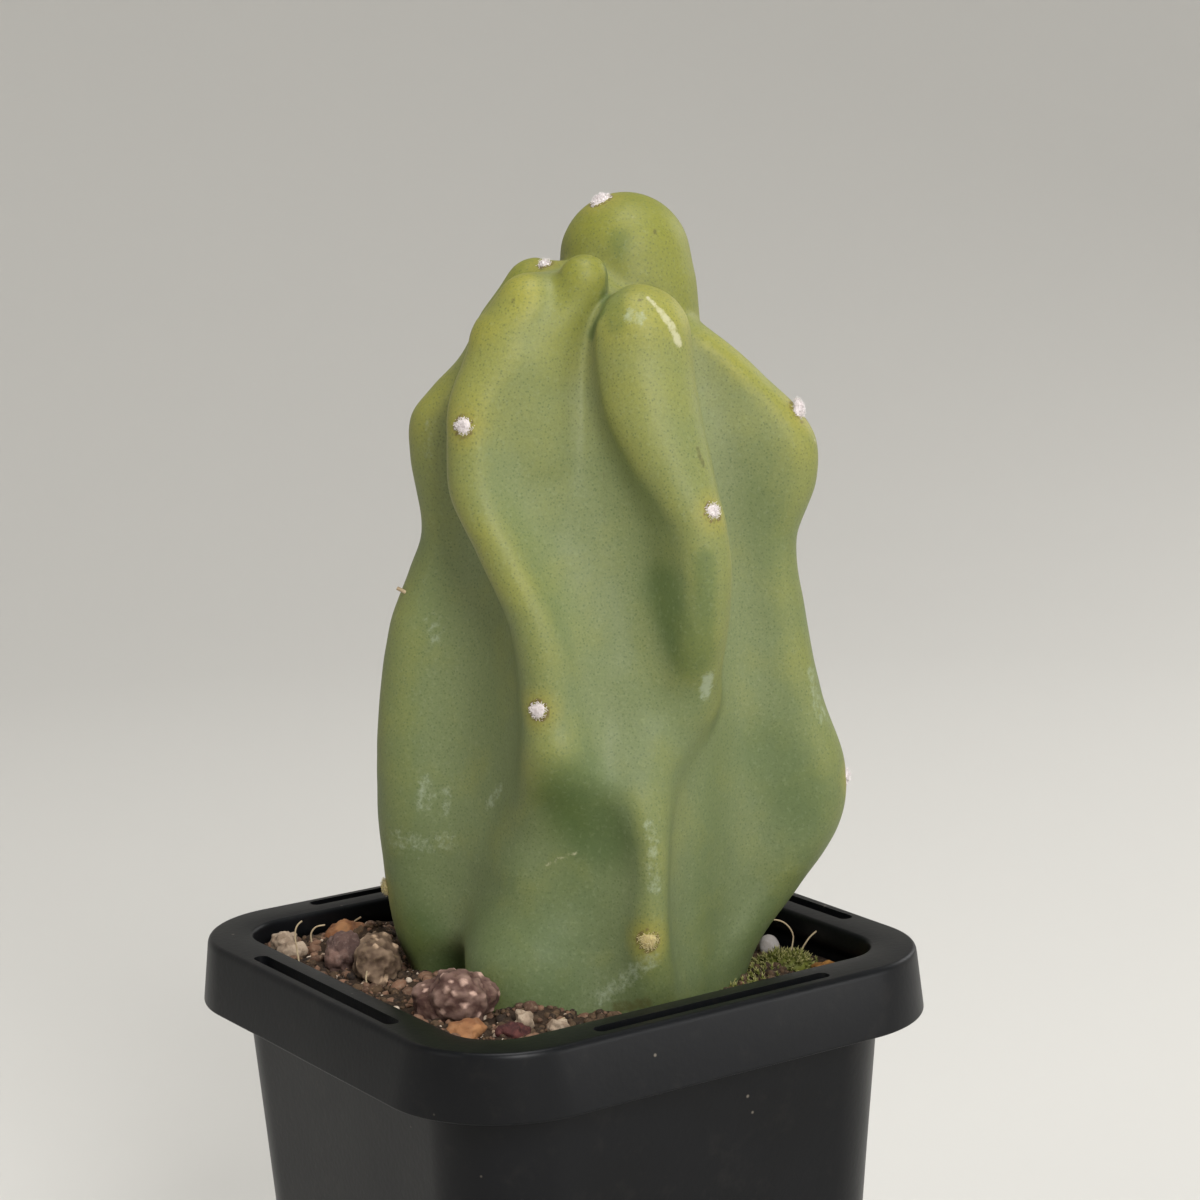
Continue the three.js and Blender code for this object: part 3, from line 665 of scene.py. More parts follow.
# %% Cactus skin
skin_finish, tree, shader, at = new_finish("cactus_cuticle_waxed")
crest_in, young_in, valley_in, lobe_in, deep_and_shade_in, halo_in = (
    put(tree, "ShaderNodeAttribute", attribute_name=stored).outputs["Fac"]
    for stored in ("crest", "young", "valley", "lobe", "deep_green_and_shade", "halo")
)
mottle = put(tree, "ShaderNodeTexNoise", {
    "Vector": at, "Scale": 1 / 6, "Detail": 3.0,
}).outputs["Fac"]
grain = put(tree, "ShaderNodeTexNoise", {
    "Vector": at, "Scale": 1 / 0.5, "Detail": 2.0,
}).outputs["Fac"]
yellowing = put(tree, "ShaderNodeMath", {0: crest_in, 1: young_in}, operation="MULTIPLY").outputs[0]
yellow_low = put(tree, "ShaderNodeMath", {0: crest_in, 1: 0.18}, operation="MULTIPLY").outputs[0]
yellow = put(tree, "ShaderNodeMath", {
    0: yellowing, 1: 0.4, 2: yellow_low,
}, operation="MULTIPLY_ADD").outputs[0]
yellow_high = put(tree, "ShaderNodeMapRange", {
    "Value": young_in, "From Min": 0.7, "From Max": 0.95, "To Max": 0.32,
}, interpolation_type="SMOOTHSTEP").outputs[0]
yellow = put(tree, "ShaderNodeMath", {0: yellow, 1: yellow_high}, operation="ADD").outputs[0]
lobe_yellow = put(tree, "ShaderNodeMath", {0: lobe_in, 1: 0.45}, operation="MULTIPLY").outputs[0]
yellow = put(tree, "ShaderNodeMath", {0: yellow, 1: lobe_yellow}, operation="MAXIMUM").outputs[0]
blotch = put(tree, "ShaderNodeMath", {
    0: mottle, 1: 0.7, 2: -0.35,
}, operation="MULTIPLY_ADD").outputs[0]
yellow = put(tree, "ShaderNodeMath", {
    0: yellow, 1: blotch,
}, operation="ADD", use_clamp=True).outputs[0]
green = put(tree, "ShaderNodeMix", {
    0: young_in, 6: linear("#5a6740"), 7: linear("#717948"),
}, data_type="RGBA").outputs[2]
glaucous = put(tree, "ShaderNodeMix", {
    0: valley_in, 6: green, 7: linear("#818765"),
}, data_type="RGBA").outputs[2]
lobe_share = put(tree, "ShaderNodeMath", {0: lobe_in, 1: 0.75}, operation="MULTIPLY").outputs[0]
# painted shade and deep green, darkening overhung and creased skin
deep_and_shade_soft = put(tree, "ShaderNodeMapRange", {
    "Value": deep_and_shade_in, "To Max": 0.62,
}, interpolation_type="SMOOTHSTEP").outputs[0]
halo_share = put(tree, "ShaderNodeMath", {0: halo_in, 1: 0.75}, operation="MULTIPLY").outputs[0]
pores = put(tree, "ShaderNodeTexVoronoi", {"Vector": at, "Scale": 1 / 0.45, "Randomness": 1.0})
pore = put(tree, "ShaderNodeMapRange", {
    "Value": pores.outputs["Distance"], "From Min": 0.12, "From Max": 0.34,
    "To Min": 0.5, "To Max": 0.0,
}).outputs[0]
stipple = put(tree, "ShaderNodeTexNoise", {
    "Vector": at, "Scale": 1 / 0.28, "Detail": 2.0, "Roughness": 0.7,
}).outputs["Fac"]
stippled = put(tree, "ShaderNodeMapRange", {
    "Value": stipple, "From Min": 0.42, "From Max": 0.7, "To Max": 0.28,
}).outputs[0]
light_grain = put(tree, "ShaderNodeMapRange", {
    "Value": grain, "From Min": 0.55, "From Max": 0.85, "To Max": 0.2,
}).outputs[0]
colour = glaucous
for share, hex_colour in (
    (yellow, "#8b8835"), (lobe_share, "#757728"), (deep_and_shade_soft, "#3f5426"), (halo_share, "#8f8838"),
    (pore, "#42502b"), (stippled, "#465430"), (light_grain, "#97a07a"),
):
    colour = put(tree, "ShaderNodeMix", {
        0: share, 6: colour, 7: linear(hex_colour),
    }, data_type="RGBA").outputs[2]

# Wax, cork, dark specks with a painted crease shade, and the areoles' brown rings, with ragged edges
ragged = put(tree, "ShaderNodeTexNoise", {
    "Vector": at, "Scale": 1 / 0.8, "Detail": 5.0, "Roughness": 0.7,
}).outputs["Fac"]
ragged = put(tree, "ShaderNodeMath", {
    0: ragged, 1: 1.6, 2: -0.8,
}, operation="MULTIPLY_ADD").outputs[0]
for stored, hex_colour, most in (
    ("bloom", "#98a289", 0.6), ("cork", "#b2af8e", 0.85), ("dark", "#4d4a26", 0.7),
    ("ring", "#5f4f2c", 0.85),
):
    amount = put(tree, "ShaderNodeAttribute", attribute_name=stored).outputs["Fac"]
    torn = put(tree, "ShaderNodeMath", {0: amount, 1: ragged}, operation="ADD").outputs[0]
    share = put(tree, "ShaderNodeMapRange", {
        "Value": torn, "From Min": 0.25, "From Max": 0.85, "To Max": most,
    }, interpolation_type="SMOOTHSTEP").outputs[0]
    gate = put(tree, "ShaderNodeMath", {0: amount, 1: 0.02}, operation="GREATER_THAN").outputs[0]
    share = put(tree, "ShaderNodeMath", {0: share, 1: gate}, operation="MULTIPLY").outputs[0]
    colour = put(tree, "ShaderNodeMix", {
        0: share, 6: colour, 7: linear(hex_colour),
    }, data_type="RGBA").outputs[2]
tree.links.new(colour, shader.inputs["Base Color"])
rough = put(tree, "ShaderNodeMapRange", {"Value": grain, "To Min": 0.46, "To Max": 0.62}).outputs[0]
tree.links.new(rough, shader.inputs["Roughness"])
fine = put(tree, "ShaderNodeBump", {
    "Height": grain, "Distance": 0.06 * MM, "Strength": 0.5,
}).outputs[0]
soft = put(tree, "ShaderNodeBump", {
    "Height": mottle, "Distance": 0.35 * MM, "Strength": 0.55, "Normal": fine,
})
tree.links.new(soft.outputs[0], shader.inputs["Normal"])
shader.inputs["Subsurface Weight"].default_value = 0.12
shader.inputs["Subsurface Radius"].default_value = (0.9, 1.0, 0.35)
shader.inputs["Subsurface Scale"].default_value = 1.2 * MM
shader.inputs["Specular IOR Level"].default_value = 0.38
stem_skin.data.materials.append(skin_finish)
seat(stem_skin, "stem_skin", "stem")

# %% [markdown]
# ### Areole wool
# The wool is a dense tuft of short, crinkled hairs. A white dome would look like a pinhead, so
# a low felt pad carries a few hundred real fibres, grown by one Geometry Nodes tree: points
# spread over the pad, a bent tapering fibre on each, tilted and turned at random.

# %% Felt pads
PAD_RINGS = 7
PAD_SPOKES = 18
PAD_HEIGHT, PAD_SINK = 0.42, 0.12


def frame_at(facing):
    """Two directions across a facing one."""
    side = np.cross(facing, (0.31, 0.2, 0.93))
    side /= np.linalg.norm(side)
    return side, np.cross(facing, side)


def pad_mesh(centre, facing, radius, height, sink):
    """A low dome whose skirt is sunk into the skin, as points and faces."""
    side, across = frame_at(facing)
    points, faces = [centre + facing * (height - sink)], []
    for ring in range(1, PAD_RINGS + 1):
        share = ring / PAD_RINGS
        for spoke in range(PAD_SPOKES):
            turn = 2 * math.pi * spoke / PAD_SPOKES
            spread = radius * share * (1 + 0.08 * math.sin(3 * turn + radius * 9))
            lift = height * math.sqrt(max(1 - share**2.4, 0)) - sink * (1 + 2 * share**4)
            outward = side * math.cos(turn) + across * math.sin(turn)
            points.append(centre + outward * spread + facing * lift)
    for spoke in range(PAD_SPOKES):
        beside = (spoke + 1) % PAD_SPOKES
        faces.append((0, 1 + spoke, 1 + beside))
        for ring in range(PAD_RINGS - 1):
            a, b = 1 + ring * PAD_SPOKES + spoke, 1 + ring * PAD_SPOKES + beside
            faces.append((a, a + PAD_SPOKES, b + PAD_SPOKES, b))
    last = 1 + (PAD_RINGS - 1) * PAD_SPOKES
    faces.append(tuple(last + s for s in reversed(range(PAD_SPOKES))))
    return points, faces


pad_points, pad_faces = [], []
for centre, facing, radius in areole_spots:
    points, faces = pad_mesh(centre, facing, radius, PAD_HEIGHT, PAD_SINK)
    start = len(pad_points)
    pad_points += points
    pad_faces += [tuple(start + i for i in face) for face in faces]

# Wool of fine crinkled hairs: chalk white when young, straw-stained near the soil
wool_finish, tree, shader, at = new_finish("areole_wool_felted")
height_of = put(tree, "ShaderNodeSeparateXYZ", {0: at}).outputs["Z"]
age = put(tree, "ShaderNodeMapRange", {
    "Value": height_of, "From Min": RIM + 8, "From Max": RIM + 17,
}, interpolation_type="SMOOTHSTEP").outputs[0]
tufts = put(tree, "ShaderNodeTexNoise", {
    "Vector": at, "Scale": 1 / 0.4, "Detail": 3.0,
}).outputs["Fac"]
young_wool = put(tree, "ShaderNodeMix", {
    0: tufts, 6: linear("#cfc4c2"), 7: linear("#f7f0f0"),
}, data_type="RGBA").outputs[2]
old_wool = put(tree, "ShaderNodeMix", {
    0: tufts, 6: linear("#a8904f"), 7: linear("#e0d59e"),
}, data_type="RGBA").outputs[2]
wool_colour = put(tree, "ShaderNodeMix", {
    0: age, 6: old_wool, 7: young_wool,
}, data_type="RGBA").outputs[2]
tree.links.new(wool_colour, shader.inputs["Base Color"])
shader.inputs["Roughness"].default_value = 0.9
shader.inputs["Sheen Weight"].default_value = 0.35
felt_bump = put(tree, "ShaderNodeBump", {"Height": tufts, "Distance": 0.1 * MM, "Strength": 0.8})
tree.links.new(felt_bump.outputs[0], shader.inputs["Normal"])
areole_felt = plain_piece("areole_felt", pad_points, pad_faces, wool_finish)
seat(areole_felt, "stem_skin")

# %% Wool tree
wool_tree, given = new_tree("areole_wool", {
    "Hairs per square metre": "Float", "Hair length": "Float", "Hair radius": "Float",
    "Lean": "Float", "Seed": "Int", "Finish": "Material",
})
spread = put(wool_tree, "GeometryNodeDistributePointsOnFaces", {
    "Mesh": given["Geometry"], "Density": given["Hairs per square metre"], "Seed": given["Seed"],
}, distribute_method="RANDOM")
middle = put(wool_tree, "ShaderNodeCombineXYZ", {"Z": given["Hair length"]}).outputs[0]
bent = put(wool_tree, "ShaderNodeCombineXYZ", {
    "X": given["Hair length"], "Z": given["Hair length"],
}).outputs[0]
hair = put(wool_tree, "GeometryNodeCurveQuadraticBezier", {
    "Resolution": 4, "Start": (0, 0, 0), "Middle": middle, "End": bent,
})
along_hair = put(wool_tree, "GeometryNodeSplineParameter").outputs["Factor"]
taper = put(wool_tree, "ShaderNodeMapRange", {
    "Value": along_hair, "To Min": 1.0, "To Max": 0.35,
}).outputs[0]
thin_hair = put(wool_tree, "GeometryNodeSetCurveRadius", {
    "Curve": hair.outputs[0], "Radius": taper,
}).outputs[0]
hair_round = put(wool_tree, "GeometryNodeCurvePrimitiveCircle", {
    "Resolution": 3, "Radius": given["Hair radius"],
}).outputs[0]
fibre = put(wool_tree, "GeometryNodeCurveToMesh", {
    "Curve": thin_hair, "Profile Curve": hair_round, "Fill Caps": True,
}).outputs[0]
lean_back = put(wool_tree, "ShaderNodeMath", {
    0: given["Lean"], 1: -1.0,
}, operation="MULTIPLY").outputs[0]
tilt_low = put(wool_tree, "ShaderNodeCombineXYZ", {
    "X": lean_back, "Y": lean_back, "Z": 0.0,
}).outputs[0]
tilt_high = put(wool_tree, "ShaderNodeCombineXYZ", {
    "X": given["Lean"], "Y": given["Lean"], "Z": 2 * math.pi,
}).outputs[0]
tilt = put(wool_tree, "FunctionNodeRandomValue", {
    0: tilt_low, 1: tilt_high, "Seed": given["Seed"],
}, data_type="FLOAT_VECTOR").outputs[0]
stance = put(wool_tree, "FunctionNodeRotateRotation", {
    "Rotation": spread.outputs["Rotation"], "Rotate By": tilt,
}, rotation_space="LOCAL").outputs[0]
size = put(wool_tree, "FunctionNodeRandomValue", {2: 0.55, 3: 1.1, "Seed": 5}).outputs[1]
hairs = put(wool_tree, "GeometryNodeInstanceOnPoints", {
    "Points": spread.outputs["Points"], "Instance": fibre, "Rotation": stance, "Scale": size,
}).outputs[0]
finish_tree(wool_tree, hairs, given["Finish"])

# %% Wool
wool_bed = plain_piece("areole_wool", pad_points, pad_faces, None)
areole_wool = grow_piece(
    wool_bed, wool_tree, hairs_per_square_metre=5.5e7, hair_length=0.34 * MM, hair_radius=0.028 * MM,
    lean=0.9, seed=7, finish=wool_finish,
)
seat(areole_wool, "stem_skin")

# %% [markdown]
# ## The pot
# The pot is injection-moulded: a square, rounded shell with a flat flange and a deep skirt,
# four label slots and four drain holes. Box modelling would need many loops to keep the
# corners even. Each level of the pot is a rounded square given by a half width, a corner
# radius and a height, so a Geometry Nodes tree sweeps a profile of such levels round a ring
# and then puts each point on its rounded square. The holes are cut in the same tree.

# %% Pot measures
RIM_HALF, RIM_CORNER = 35.0, 12.8
FLANGE = 1.2
SKIRT_HEIGHT, SKIRT_FLARE, SKIRT_CORNER, SKIRT_WALL = 7.9, 1.3, 15.3, 1.0
WALL_HALF, WALL_CORNER, WALL_DRAFT, WALL = 31.6, 11.0, 0.0605, 1.2
MOUTH_HALF, MOUTH_CORNER, LIP = 29.2, 6.5, 4.0
FLOOR, FOOT_ROUND = 1.6, 0.8
SLOT_INSET, SLOT_WIDTH, SLOT_LENGTH = 1.3, 1.9, 33.0
DRAIN_RADIUS, DRAIN_PITCH = 4.0, 13.0


def wall_at(z):
    """Half width of the wall's outside at a height."""
    return WALL_HALF - (RIM - z) * WALL_DRAFT


def rounded(levels, radii, steps=5):
    """Round the bends of a profile of (half, corner, height) levels."""
    bent = [np.array(levels[0], float)]
    for before, here, after, radius in zip(levels, levels[1:], levels[2:], radii):
        before, here, after = (np.array(p, float) for p in (before, here, after))
        if radius == 0:
            bent.append(here)
            continue
        back = (before - here) / np.linalg.norm(before - here)
        ahead = (after - here) / np.linalg.norm(after - here)
        for i in range(steps + 1):
            t = i / steps
            bent.append(here + back * radius * (1 - t) ** 2 + ahead * radius * t**2)
    bent.append(np.array(levels[-1], float))
    return bent


skirt_half = RIM_HALF + SKIRT_FLARE
skirt_foot = RIM - SKIRT_HEIGHT
under_flange = RIM - FLANGE
lip_foot = RIM - LIP
levels = [
    (0, 0, 0), (wall_at(0) - 6, WALL_CORNER - 4, 0), (wall_at(0), WALL_CORNER, 0),
    (wall_at(20), WALL_CORNER, 20), (wall_at(40), WALL_CORNER, 40),
    (wall_at(under_flange), WALL_CORNER, under_flange),
    (RIM_HALF - SKIRT_WALL, RIM_CORNER - SKIRT_WALL, under_flange),
    (skirt_half - SKIRT_WALL, SKIRT_CORNER - SKIRT_WALL, skirt_foot),
    (skirt_half, SKIRT_CORNER, skirt_foot), (RIM_HALF, RIM_CORNER, RIM),
    (MOUTH_HALF + 2.2, MOUTH_CORNER + 2.2, RIM), (MOUTH_HALF, MOUTH_CORNER, RIM - 0.1),
    (MOUTH_HALF, MOUTH_CORNER, lip_foot + 1.4),
    (wall_at(lip_foot) - WALL, MOUTH_CORNER + 1, lip_foot),
    (wall_at(FLOOR) - WALL, MOUTH_CORNER, FLOOR), (20, 4, FLOOR), (0, 0, FLOOR),
]
bends = [0, FOOT_ROUND, 0, 0, 0.8, 0.5, 0.28, 0.32, 0.95, 0, 0.7, 0.6, 0.5, 1.2, 0]
pot_profile = rounded(levels, bends)
print("pot profile levels:", len(pot_profile))

# %% Pot tree
pot_tree, given = new_tree("square_pot", {
    "Points round": "Int", "Corner share": "Float", "Warp": "Float", "Warp width": "Float",
    "Slot length": "Float", "Slot width": "Float", "Slot reach": "Float",
    "Drain radius": "Float", "Drain reach": "Float", "Rim height": "Float", "Finish": "Material",
})
spot = put(pot_tree, "GeometryNodeInputPosition").outputs[0]
noted = put(pot_tree, "GeometryNodeStoreNamedAttribute", {
    "Geometry": given["Geometry"], "Name": "level", "Value": spot,
}, data_type="FLOAT_VECTOR", domain="POINT").outputs[0]
profile = put(pot_tree, "GeometryNodeMeshToCurve", {"Mesh": noted}).outputs[0]
ring_curve = put(pot_tree, "GeometryNodeCurvePrimitiveCircle", {
    "Resolution": given["Points round"],
}).outputs[0]
number = put(pot_tree, "GeometryNodeInputIndex").outputs[0]
share = put(pot_tree, "ShaderNodeMath", {
    0: number, 1: given["Points round"],
}, operation="DIVIDE").outputs[0]
ring_curve = put(pot_tree, "GeometryNodeStoreNamedAttribute", {
    "Geometry": ring_curve, "Name": "round", "Value": share,
}, data_type="FLOAT", domain="POINT").outputs[0]
shell = put(pot_tree, "GeometryNodeCurveToMesh", {
    "Curve": ring_curve, "Profile Curve": profile,
}).outputs[0]
level_in = put(pot_tree, "GeometryNodeInputNamedAttribute", {
    "Name": "level",
}, data_type="FLOAT_VECTOR").outputs[0]
round_in = put(pot_tree, "GeometryNodeInputNamedAttribute", {
    "Name": "round",
}, data_type="FLOAT").outputs[0]
part = put(pot_tree, "ShaderNodeSeparateXYZ", {0: level_in}).outputs
sides = put(pot_tree, "ShaderNodeMath", {0: round_in, 1: 4.0}, operation="MULTIPLY").outputs[0]
side_number = put(pot_tree, "ShaderNodeMath", {0: sides, 1: 1e-4}, operation="ADD").outputs[0]
side_number = put(pot_tree, "ShaderNodeMath", {0: side_number}, operation="FLOOR").outputs[0]
within = put(pot_tree, "ShaderNodeMath", {
    0: sides, 1: side_number,
}, operation="SUBTRACT", use_clamp=True).outputs[0]
bend = put(pot_tree, "ShaderNodeMapRange", {
    "Value": within, "From Min": 0.0, "From Max": given["Corner share"], "To Max": math.pi / 2,
}).outputs[0]
slide = put(pot_tree, "ShaderNodeMapRange", {
    "Value": within, "From Min": given["Corner share"], "From Max": 1.0,
    "To Min": 1.0, "To Max": -1.0,
}).outputs[0]
reach = put(pot_tree, "ShaderNodeMath", {
    0: part["X"], 1: part["Y"],
}, operation="SUBTRACT").outputs[0]
cosine = put(pot_tree, "ShaderNodeMath", {0: bend}, operation="COSINE").outputs[0]
sine = put(pot_tree, "ShaderNodeMath", {0: bend}, operation="SINE").outputs[0]
slid = put(pot_tree, "ShaderNodeMath", {0: reach, 1: slide}, operation="MULTIPLY").outputs[0]
corner_x = put(pot_tree, "ShaderNodeMath", {
    0: part["Y"], 1: cosine, 2: slid,
}, operation="MULTIPLY_ADD").outputs[0]
corner_y = put(pot_tree, "ShaderNodeMath", {
    0: part["Y"], 1: sine, 2: reach,
}, operation="MULTIPLY_ADD").outputs[0]
on_side = put(pot_tree, "ShaderNodeCombineXYZ", {
    "X": corner_x, "Y": corner_y, "Z": part["Z"],
}).outputs[0]
quarter = put(pot_tree, "ShaderNodeMath", {
    0: side_number, 1: math.pi / 2,
}, operation="MULTIPLY").outputs[0]
settled = put(pot_tree, "ShaderNodeVectorRotate", {
    "Vector": on_side, "Angle": quarter,
}, rotation_type="Z_AXIS").outputs[0]
shell = put(pot_tree, "GeometryNodeSetPosition", {
    "Geometry": shell, "Position": settled,
}).outputs[0]
shell = put(pot_tree, "GeometryNodeMergeByDistance", {
    "Geometry": shell, "Distance": 0.01 * MM,
}).outputs[0]

# Moulded plastic cools unevenly, so the walls and the skirt bow a little
pace = put(pot_tree, "ShaderNodeMath", {
    0: 1.0, 1: given["Warp width"],
}, operation="DIVIDE").outputs[0]
bow = put(pot_tree, "ShaderNodeTexNoise", {
    "Vector": spot, "Scale": pace, "Detail": 0.0,
}).outputs["Color"]
bow = put(pot_tree, "ShaderNodeVectorMath", {
    0: bow, 1: (0.5, 0.5, 0.5),
}, operation="SUBTRACT").outputs[0]
bow = put(pot_tree, "ShaderNodeVectorMath", {
    0: bow, 1: (1.0, 1.0, 0.15),
}, operation="MULTIPLY").outputs[0]
bow = put(pot_tree, "ShaderNodeVectorMath", {
    0: bow, "Scale": given["Warp"],
}, operation="SCALE").outputs[0]
shell = put(pot_tree, "GeometryNodeSetPosition", {"Geometry": shell, "Offset": bow}).outputs[0]

# Four slots and four drains, each on a four-point ring
outline = put(pot_tree, "GeometryNodeCurvePrimitiveQuadrilateral", {
    "Width": given["Slot width"], "Height": given["Slot length"],
}).outputs[0]
end_radius = put(pot_tree, "ShaderNodeMath", {
    0: given["Slot width"], 1: 0.46,
}, operation="MULTIPLY").outputs[0]
outline = put(pot_tree, "GeometryNodeFilletCurve", {
    "Curve": outline, "Count": 6, "Radius": end_radius,
}, mode="POLY").outputs[0]
stroke = put(pot_tree, "GeometryNodeCurvePrimitiveLine", {
    "Start": (0, 0, -3 * FLANGE * MM), "End": (0, 0, 3 * FLANGE * MM),
}).outputs[0]
slot_cutter = put(pot_tree, "GeometryNodeCurveToMesh", {
    "Curve": stroke, "Profile Curve": outline, "Fill Caps": True,
}).outputs[0]
slot_ring = put(pot_tree, "GeometryNodeMeshCircle", {
    "Vertices": 4, "Radius": given["Slot reach"],
}).outputs[0]
up_to_rim = put(pot_tree, "ShaderNodeCombineXYZ", {"Z": given["Rim height"]}).outputs[0]
slot_ring = put(pot_tree, "GeometryNodeSetPosition", {
    "Geometry": slot_ring, "Offset": up_to_rim,
}).outputs[0]
ring_turn = put(pot_tree, "ShaderNodeMath", {
    0: number, 1: math.pi / 2,
}, operation="MULTIPLY").outputs[0]
ring_turn = put(pot_tree, "ShaderNodeCombineXYZ", {"Z": ring_turn}).outputs[0]
slot_set = put(pot_tree, "GeometryNodeInstanceOnPoints", {
    "Points": slot_ring, "Instance": slot_cutter, "Rotation": ring_turn,
}).outputs[0]
slot_set = put(pot_tree, "GeometryNodeRealizeInstances", {"Geometry": slot_set}).outputs[0]
drain_cutter = put(pot_tree, "GeometryNodeMeshCylinder", {
    "Vertices": 40, "Radius": given["Drain radius"], "Depth": 6 * FLOOR * MM,
}).outputs[0]
drain_ring = put(pot_tree, "GeometryNodeMeshCircle", {
    "Vertices": 4, "Radius": given["Drain reach"],
}).outputs[0]
drain_ring = put(pot_tree, "GeometryNodeTransform", {
    "Geometry": drain_ring, "Rotation": (0, 0, math.pi / 4),
}).outputs[0]
drain_set = put(pot_tree, "GeometryNodeInstanceOnPoints", {
    "Points": drain_ring, "Instance": drain_cutter,
}).outputs[0]
drain_set = put(pot_tree, "GeometryNodeRealizeInstances", {"Geometry": drain_set}).outputs[0]
cutters = put(pot_tree, "GeometryNodeJoinGeometry", {0: slot_set})
pot_tree.links.new(drain_set, cutters.inputs[0])
cut = put(pot_tree, "GeometryNodeMeshBoolean", {
    "Mesh 1": shell, "Mesh 2": cutters.outputs[0],
}, operation="DIFFERENCE", solver="EXACT").outputs[0]
finish_tree(pot_tree, cut, given["Finish"])

# %% [markdown]
# ### The pot's finish
# Black polypropylene, injection-moulded with a fine satin texture: nearly neutral with a cold
# cast, soft highlights, a few scuffs and pale dust. Dust specks are about 0.3 mm wide, and
# the fine texture, too small to show, is drawn as a shallow 0.7 mm unevenness.

# %% Black plastic
plastic, tree, shader, at = new_finish("polypropylene_black_moulded")
cloudy = put(tree, "ShaderNodeTexNoise", {
    "Vector": at, "Scale": 1 / 14, "Detail": 4.0,
}).outputs["Fac"]
satin = put(tree, "ShaderNodeTexNoise", {
    "Vector": at, "Scale": 1 / 0.7, "Detail": 2.0,
}).outputs["Fac"]
plastic_colour = put(tree, "ShaderNodeMix", {
    0: cloudy, 6: linear("#08090a"), 7: linear("#111215"),
}, data_type="RGBA").outputs[2]
cells = put(tree, "ShaderNodeTexVoronoi", {"Vector": at, "Scale": 1 / 3.4, "Randomness": 1.0})
speck = put(tree, "ShaderNodeMapRange", {
    "Value": cells.outputs["Distance"], "From Min": 0.035, "From Max": 0.075,
    "To Min": 1.0, "To Max": 0.0,
}).outputs[0]
chosen = put(tree, "ShaderNodeSeparateXYZ", {0: cells.outputs["Color"]}).outputs["X"]
chosen = put(tree, "ShaderNodeMath", {0: chosen, 1: 0.72}, operation="GREATER_THAN").outputs[0]
speck = put(tree, "ShaderNodeMath", {0: speck, 1: chosen}, operation="MULTIPLY").outputs[0]
film = put(tree, "ShaderNodeTexNoise", {
    "Vector": at, "Scale": 1 / 4, "Detail": 6.0, "Roughness": 0.7,
}).outputs["Fac"]
film = put(tree, "ShaderNodeMapRange", {
    "Value": film, "From Min": 0.55, "From Max": 0.85, "To Max": 0.035,
}).outputs[0]
dust = put(tree, "ShaderNodeMath", {
    0: speck, 1: 0.5, 2: film,
}, operation="MULTIPLY_ADD", use_clamp=True).outputs[0]
dusty = put(tree, "ShaderNodeMix", {
    0: dust, 6: plastic_colour, 7: linear("#8d8478"),
}, data_type="RGBA").outputs[2]
tree.links.new(dusty, shader.inputs["Base Color"])
plastic_rough = put(tree, "ShaderNodeMapRange", {
    "Value": cloudy, "To Min": 0.3, "To Max": 0.46,
}).outputs[0]
tree.links.new(plastic_rough, shader.inputs["Roughness"])
plastic_bump = put(tree, "ShaderNodeBump", {
    "Height": satin, "Distance": 0.05 * MM, "Strength": 0.35,
})
tree.links.new(plastic_bump.outputs[0], shader.inputs["Normal"])
shader.inputs["IOR"].default_value = 1.4
shader.inputs["Specular IOR Level"].default_value = 0.24

# %% Pot
profile_edges = [(i, i + 1) for i in range(len(pot_profile) - 1)]
pot_carrier = plain_piece("pot_shell", pot_profile, [], None, edges=profile_edges)
pot_shell = grow_piece(
    pot_carrier, pot_tree, points_round=224, corner_share=0.5, warp=0.5 * MM, warp_width=26 * MM,
    slot_length=SLOT_LENGTH * MM, slot_width=SLOT_WIDTH * MM,
    slot_reach=(RIM_HALF - SLOT_INSET - SLOT_WIDTH / 2) * MM, drain_radius=DRAIN_RADIUS * MM,
    drain_reach=DRAIN_PITCH * math.sqrt(2) * MM, rim_height=RIM * MM, finish=plastic,
)
crease_by_angle(pot_shell, 42)
seat(pot_shell, "pot_plastic", "pot")

# %% [markdown]
# ## The soil
# The soil is dark humus with mineral grit, a few millimetres under the rim. Its bed is a
# lumpy surface in mesh code, made of rounded squares that shrink to the middle, and the
# crumbs on it are scattered by one Geometry Nodes tree, three times with other sizes.

# %% Soil bed
SOIL_DROP, SOIL_FALL, SOIL_RIPPLE = 3.8, 0.045, 0.35
BED_RINGS = 84
BED_STEPS = 26
BED_LIFT, MOUTH_GAP = 0.35, 0.06


def soil_top(x, y):
    """Height of the smooth soil over the pot's underside."""
    ripple = math.sin(0.42 * x + 1) * math.cos(0.37 * y) + 0.6 * math.sin(0.8 * x - 0.6 * y)
    return RIM - SOIL_DROP - SOIL_FALL * x + SOIL_RIPPLE * ripple


def rounded_square(half, corner, steps):
    """Points round a rounded square, with as many on a side as on a corner."""
    ring = []
    reach = half - corner
    for quarter in range(4):
        side = []
        for step in range(steps):
            angle = math.pi / 2 * step / steps
            side.append((reach + corner * math.cos(angle), reach + corner * math.sin(angle)))
        for step in range(steps):
            side.append((reach * (1 - 2 * step / steps), half))
        turn = Matrix.Rotation(quarter * math.pi / 2, 2)
        ring += [turn @ Vector(p) for p in side]
    return ring


# Heaps of soil on the bed: place, width, height in mm
HEAPS = [
    (-14.4, 20.8, 3.6, 2.6), (-20.5, 20.6, 3.2, 1.3), (-18.5, 1.5, 4.5, 1.2), (21, -17, 4, 0.8),
    (-15, -16, 4, 1.0),
]


